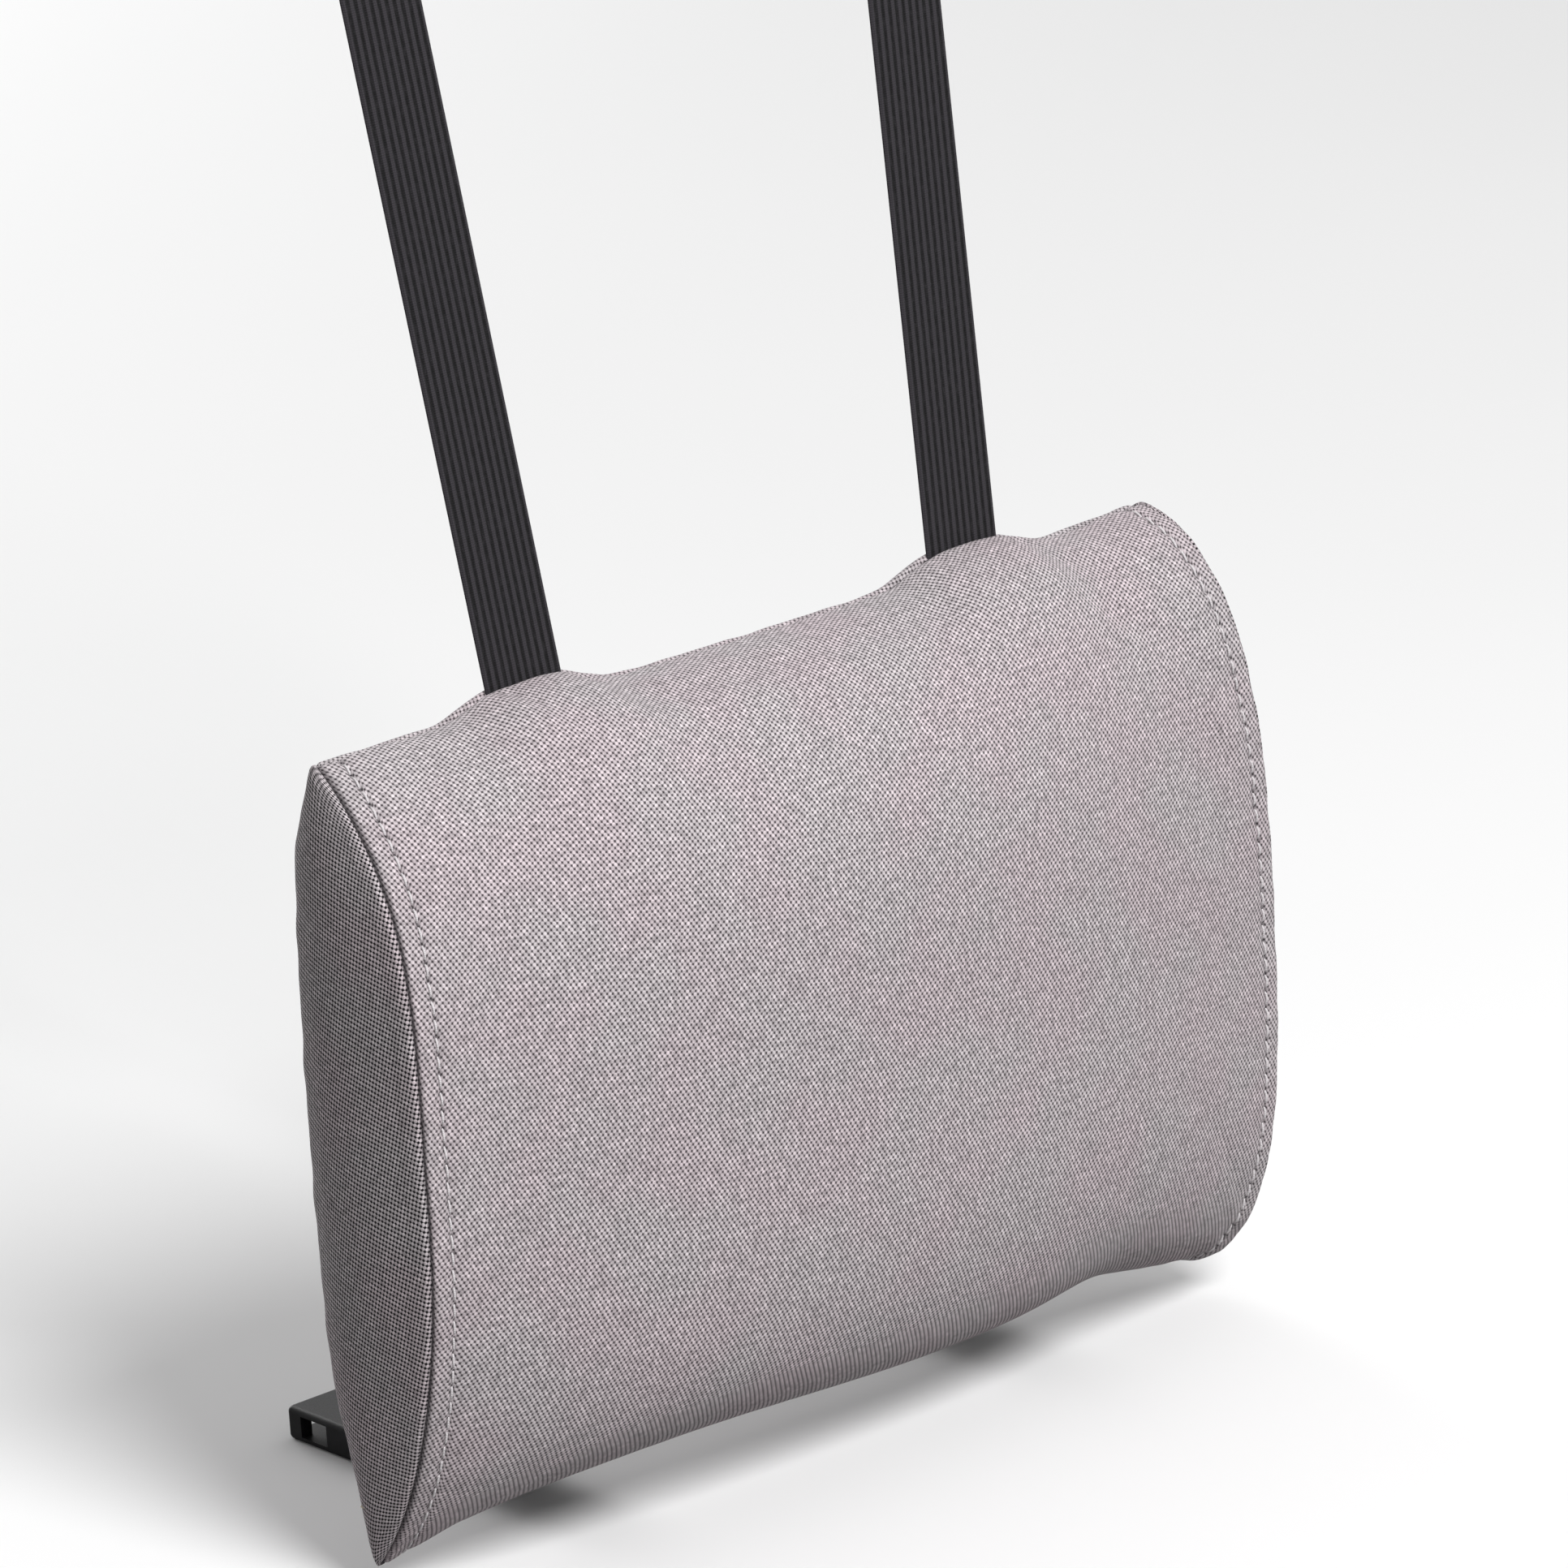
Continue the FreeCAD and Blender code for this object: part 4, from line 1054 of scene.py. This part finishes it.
def tack(name, centre_x, end, back_off, length, body):
    """A sewn box with a cross, in black thread, a little way back from a strap's end."""
    y, z, angle = end
    along = np.array([0, math.cos(angle), math.sin(angle)])
    out = np.array([0, -math.sin(angle), math.cos(angle)])
    origin = np.array([centre_x, y, z]) - back_off * along + out * (STRAP_THICKNESS / 2 - 0.08)
    w, h = TACK_WIDTH / 2, length / 2
    corners = [(-w, -h), (w, -h), (w, h), (-w, h), (-w, -h), (w, h), (-w, h), (w, -h)]
    path = []
    for (a, b), (c, d) in zip(corners[:-1], corners[1:]):
        count = max(3, int(math.hypot(c - a, d - b) / 1.0))
        for k in range(count):
            t = k / count
            path.append(origin + np.array([1.0, 0, 0]) * (a + (c - a) * t) + along * (b + (d - b) * t))
    path = np.array(path)
    up = np.broadcast_to(out, path.shape)
    stitch_row(name, path, up, BLACK_THREAD, body, pitch=2.4, length=2.0,
               radius=0.24, phase=0.1)


def lower_line(x):
    """The lower strap's edge view: from the lifted seam back to the buckle's bar, looped and sewn."""
    seam_z = float(side_offset(np.array(x))[2]) - HALF_H - 1.0
    bar_z = LOOP_RADIUS - LOWER_BEND - HALF_H
    slope = 0.0
    for _ in range(8):
        back = FEMALE_BAR_Y - LOOP_RADIUS * math.sin(slope) - SEAM_Y - LOWER_BEND * (1 - math.sin(slope))
        fall = seam_z - LOWER_BEND * math.cos(slope) - bar_z + LOOP_RADIUS * math.cos(slope)
        slope = math.atan2(fall, back)
    drop = 2 * LOOP_RADIUS - STRAP_THICKNESS - LAY_GAP
    turn = math.degrees(math.acos(1 - drop / (2 * EASE_RADIUS)))
    steps = [SEWN_TAIL, (LOWER_BEND, 90 - math.degrees(slope)), math.hypot(back, fall), (LOOP_RADIUS, 180),
             (EASE_RADIUS, turn), (EASE_RADIUS, -turn), 12.0]
    return strap_line((SEAM_Y, seam_z + SEWN_TAIL), -90, steps)


def strap_pieces():
    upper, middle = upper_line()
    foot = np.array([REAR_Y + 2 * LOOP_RADIUS, MALE_BAR_Z + LOOP_TAIL + 0.1])
    head = np.array([REAR_Y + STRAP_THICKNESS + STRAP_PLAY, GLIDE_Z - FOLD_LEG - 0.1])
    rise = head - foot
    back = strap_line(foot, math.degrees(math.atan2(rise[1], rise[0])), [float(np.hypot(*rise))])
    fold = strap_line((head[0], GLIDE_Z - FOLD_LEG), 90, [FOLD_LEG, (FOLD_RADIUS, -180), FOLD_LEG])
    for name, side in (("left", -1), ("right", 1)):
        piece = webbing("strap_upper_" + name, upper, side * middle, "cushion")
        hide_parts("upper_strap_" + name)
        piece = webbing("strap_return_" + name, back, side * TOP_X, "cushion")
        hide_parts("upper_strap_return_" + name)
        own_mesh(piece)
        piece = webbing("strap_fold_" + name, fold, side * TOP_X, "adjuster_" + name)
        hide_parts("strap_end_fold_" + name)
        lower = lower_line(side * STRAP_X)
        piece = webbing("strap_lower_" + name, lower, side * STRAP_X, "cushion")
        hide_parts("lower_strap_" + name)
        tack("lower_tack_" + name, side * STRAP_X, lower[-1], 6.2, 8.0, "cushion")
        tack("fold_tack_" + name, side * TOP_X, fold[-1], 4.4, 5.0, "adjuster_" + name)


# ---- hard parts kept from the CAD model ----
def dress_node(name, material, width):
    node = frame["nodes"][name]
    node.data.materials.clear()
    node.data.materials.append(material)
    weld = node.modifiers.new("weld", "WELD")
    weld.merge_threshold = 1e-5
    bevel = node.modifiers.new("bevel", "BEVEL")
    bevel.width = width * MM
    bevel.segments = 2
    bevel.limit_method = "ANGLE"
    bevel.angle_limit = math.radians(38)
    bevel.use_clamp_overlap = True
    bevel.harden_normals = False
    shading = node.modifiers.new("shading", "WEIGHTED_NORMAL")
    shading.keep_sharp = False


def hard_pieces():
    for side in ("left", "right"):
        for stem in ("triglide", "buckle_male", "buckle_prong_outer", "buckle_prong_inner", "buckle_female"):
            dress_node(stem + "_" + side, PLASTIC, 0.35)
    for name in ("zip_stops", "zip_slider", "zip_pull_tab"):
        dress_node(name, METAL, 0.18)


front_panel()
gusset_panel("gusset_left", LEFT, NORMALS[2], True, 1)
gusset_panel("gusset_right", RIGHT, NORMALS[3], False, 2)
back_panels()
inner_form("liner", "inner_liner", LINER_INSET, LINER, 5)
inner_form("foam", "foam_core", FOAM_INSET, FOAM, 6)
zip_pieces()
strap_pieces()
hard_pieces()


# ---- camera, floor and light ----
def add_camera():
    turn, rise, roll = (math.radians(v) for v in CAMERA_ANGLES)
    back = Vector((math.sin(turn) * math.cos(rise), -math.cos(turn) * math.cos(rise), math.sin(rise)))
    right = Vector((math.cos(turn), math.sin(turn), 0))
    up = back.cross(right)
    across = math.cos(roll) * right + math.sin(roll) * up
    above = math.cos(roll) * up - math.sin(roll) * right
    data = bpy.data.cameras.new("camera")
    data.lens = CAMERA_LENS
    data.clip_start = 0.05
    data.clip_end = 50
    camera = new_object("camera", data)
    rows = zip(across, above, back, CAMERA_PLACE)
    camera.matrix_world = Matrix((*rows, (0, 0, 0, 1)))
    bpy.context.scene.camera = camera


def add_light(name, azimuth, elevation, distance, size, power, aim=(0, 0, 0.1)):
    a, e = math.radians(azimuth), math.radians(elevation)
    back = Vector((math.sin(a) * math.cos(e), -math.cos(a) * math.cos(e), math.sin(e)))
    data = bpy.data.lights.new(name, "AREA")
    data.shape = "DISK"
    data.size = size
    data.energy = power
    light = new_object(name, data)
    light.location = Vector(aim) + back * distance
    light.rotation_mode = "QUATERNION"
    light.rotation_quaternion = back.to_track_quat("Z", "Y")


def add_stage():
    size = 30.0
    level = CAD_BOX[0][2]
    mesh = bpy.data.meshes.new("floor")
    corners = [(-size, -size, level), (size, -size, level), (size, size, level), (-size, size, level)]
    mesh.from_pydata(corners, [], [(0, 1, 2, 3)])
    mesh.materials.append(floor_material("floor"))
    floor = new_object("floor", mesh)
    world = bpy.data.worlds.new("studio")
    world.use_nodes = True
    tree = world.node_tree
    place = tree.nodes.new("ShaderNodeTexCoord")
    parts = tree.nodes.new("ShaderNodeSeparateXYZ")
    ramp = tree.nodes.new("ShaderNodeMapRange")
    seen = tree.nodes.new("ShaderNodeLightPath")
    mix = tree.nodes.new("ShaderNodeMix")
    background = tree.nodes["Background"]
    tree.links.new(place.outputs["Generated"], parts.inputs[0])
    tree.links.new(parts.outputs[0], ramp.inputs[0])
    for index, value in enumerate(SKY_RAMP, 1):
        ramp.inputs[index].default_value = value
    tree.links.new(seen.outputs["Is Camera Ray"], mix.inputs[0])
    tree.links.new(ramp.outputs[0], mix.inputs[2])
    mix.inputs[3].default_value = SKY_SEEN
    tree.links.new(mix.outputs[0], background.inputs["Strength"])
    background.inputs["Color"].default_value = (1.0, 1.0, 1.0, 1.0)
    bpy.context.scene.world = world


add_camera()
add_stage()
add_light("key", -9, 42, 3.2, 1.3, 105)
add_light("fill", 172, 16, 3.0, 1.6, 30)
bpy.context.scene.view_settings.view_transform = "Standard"

bpy.context.view_layer.update()
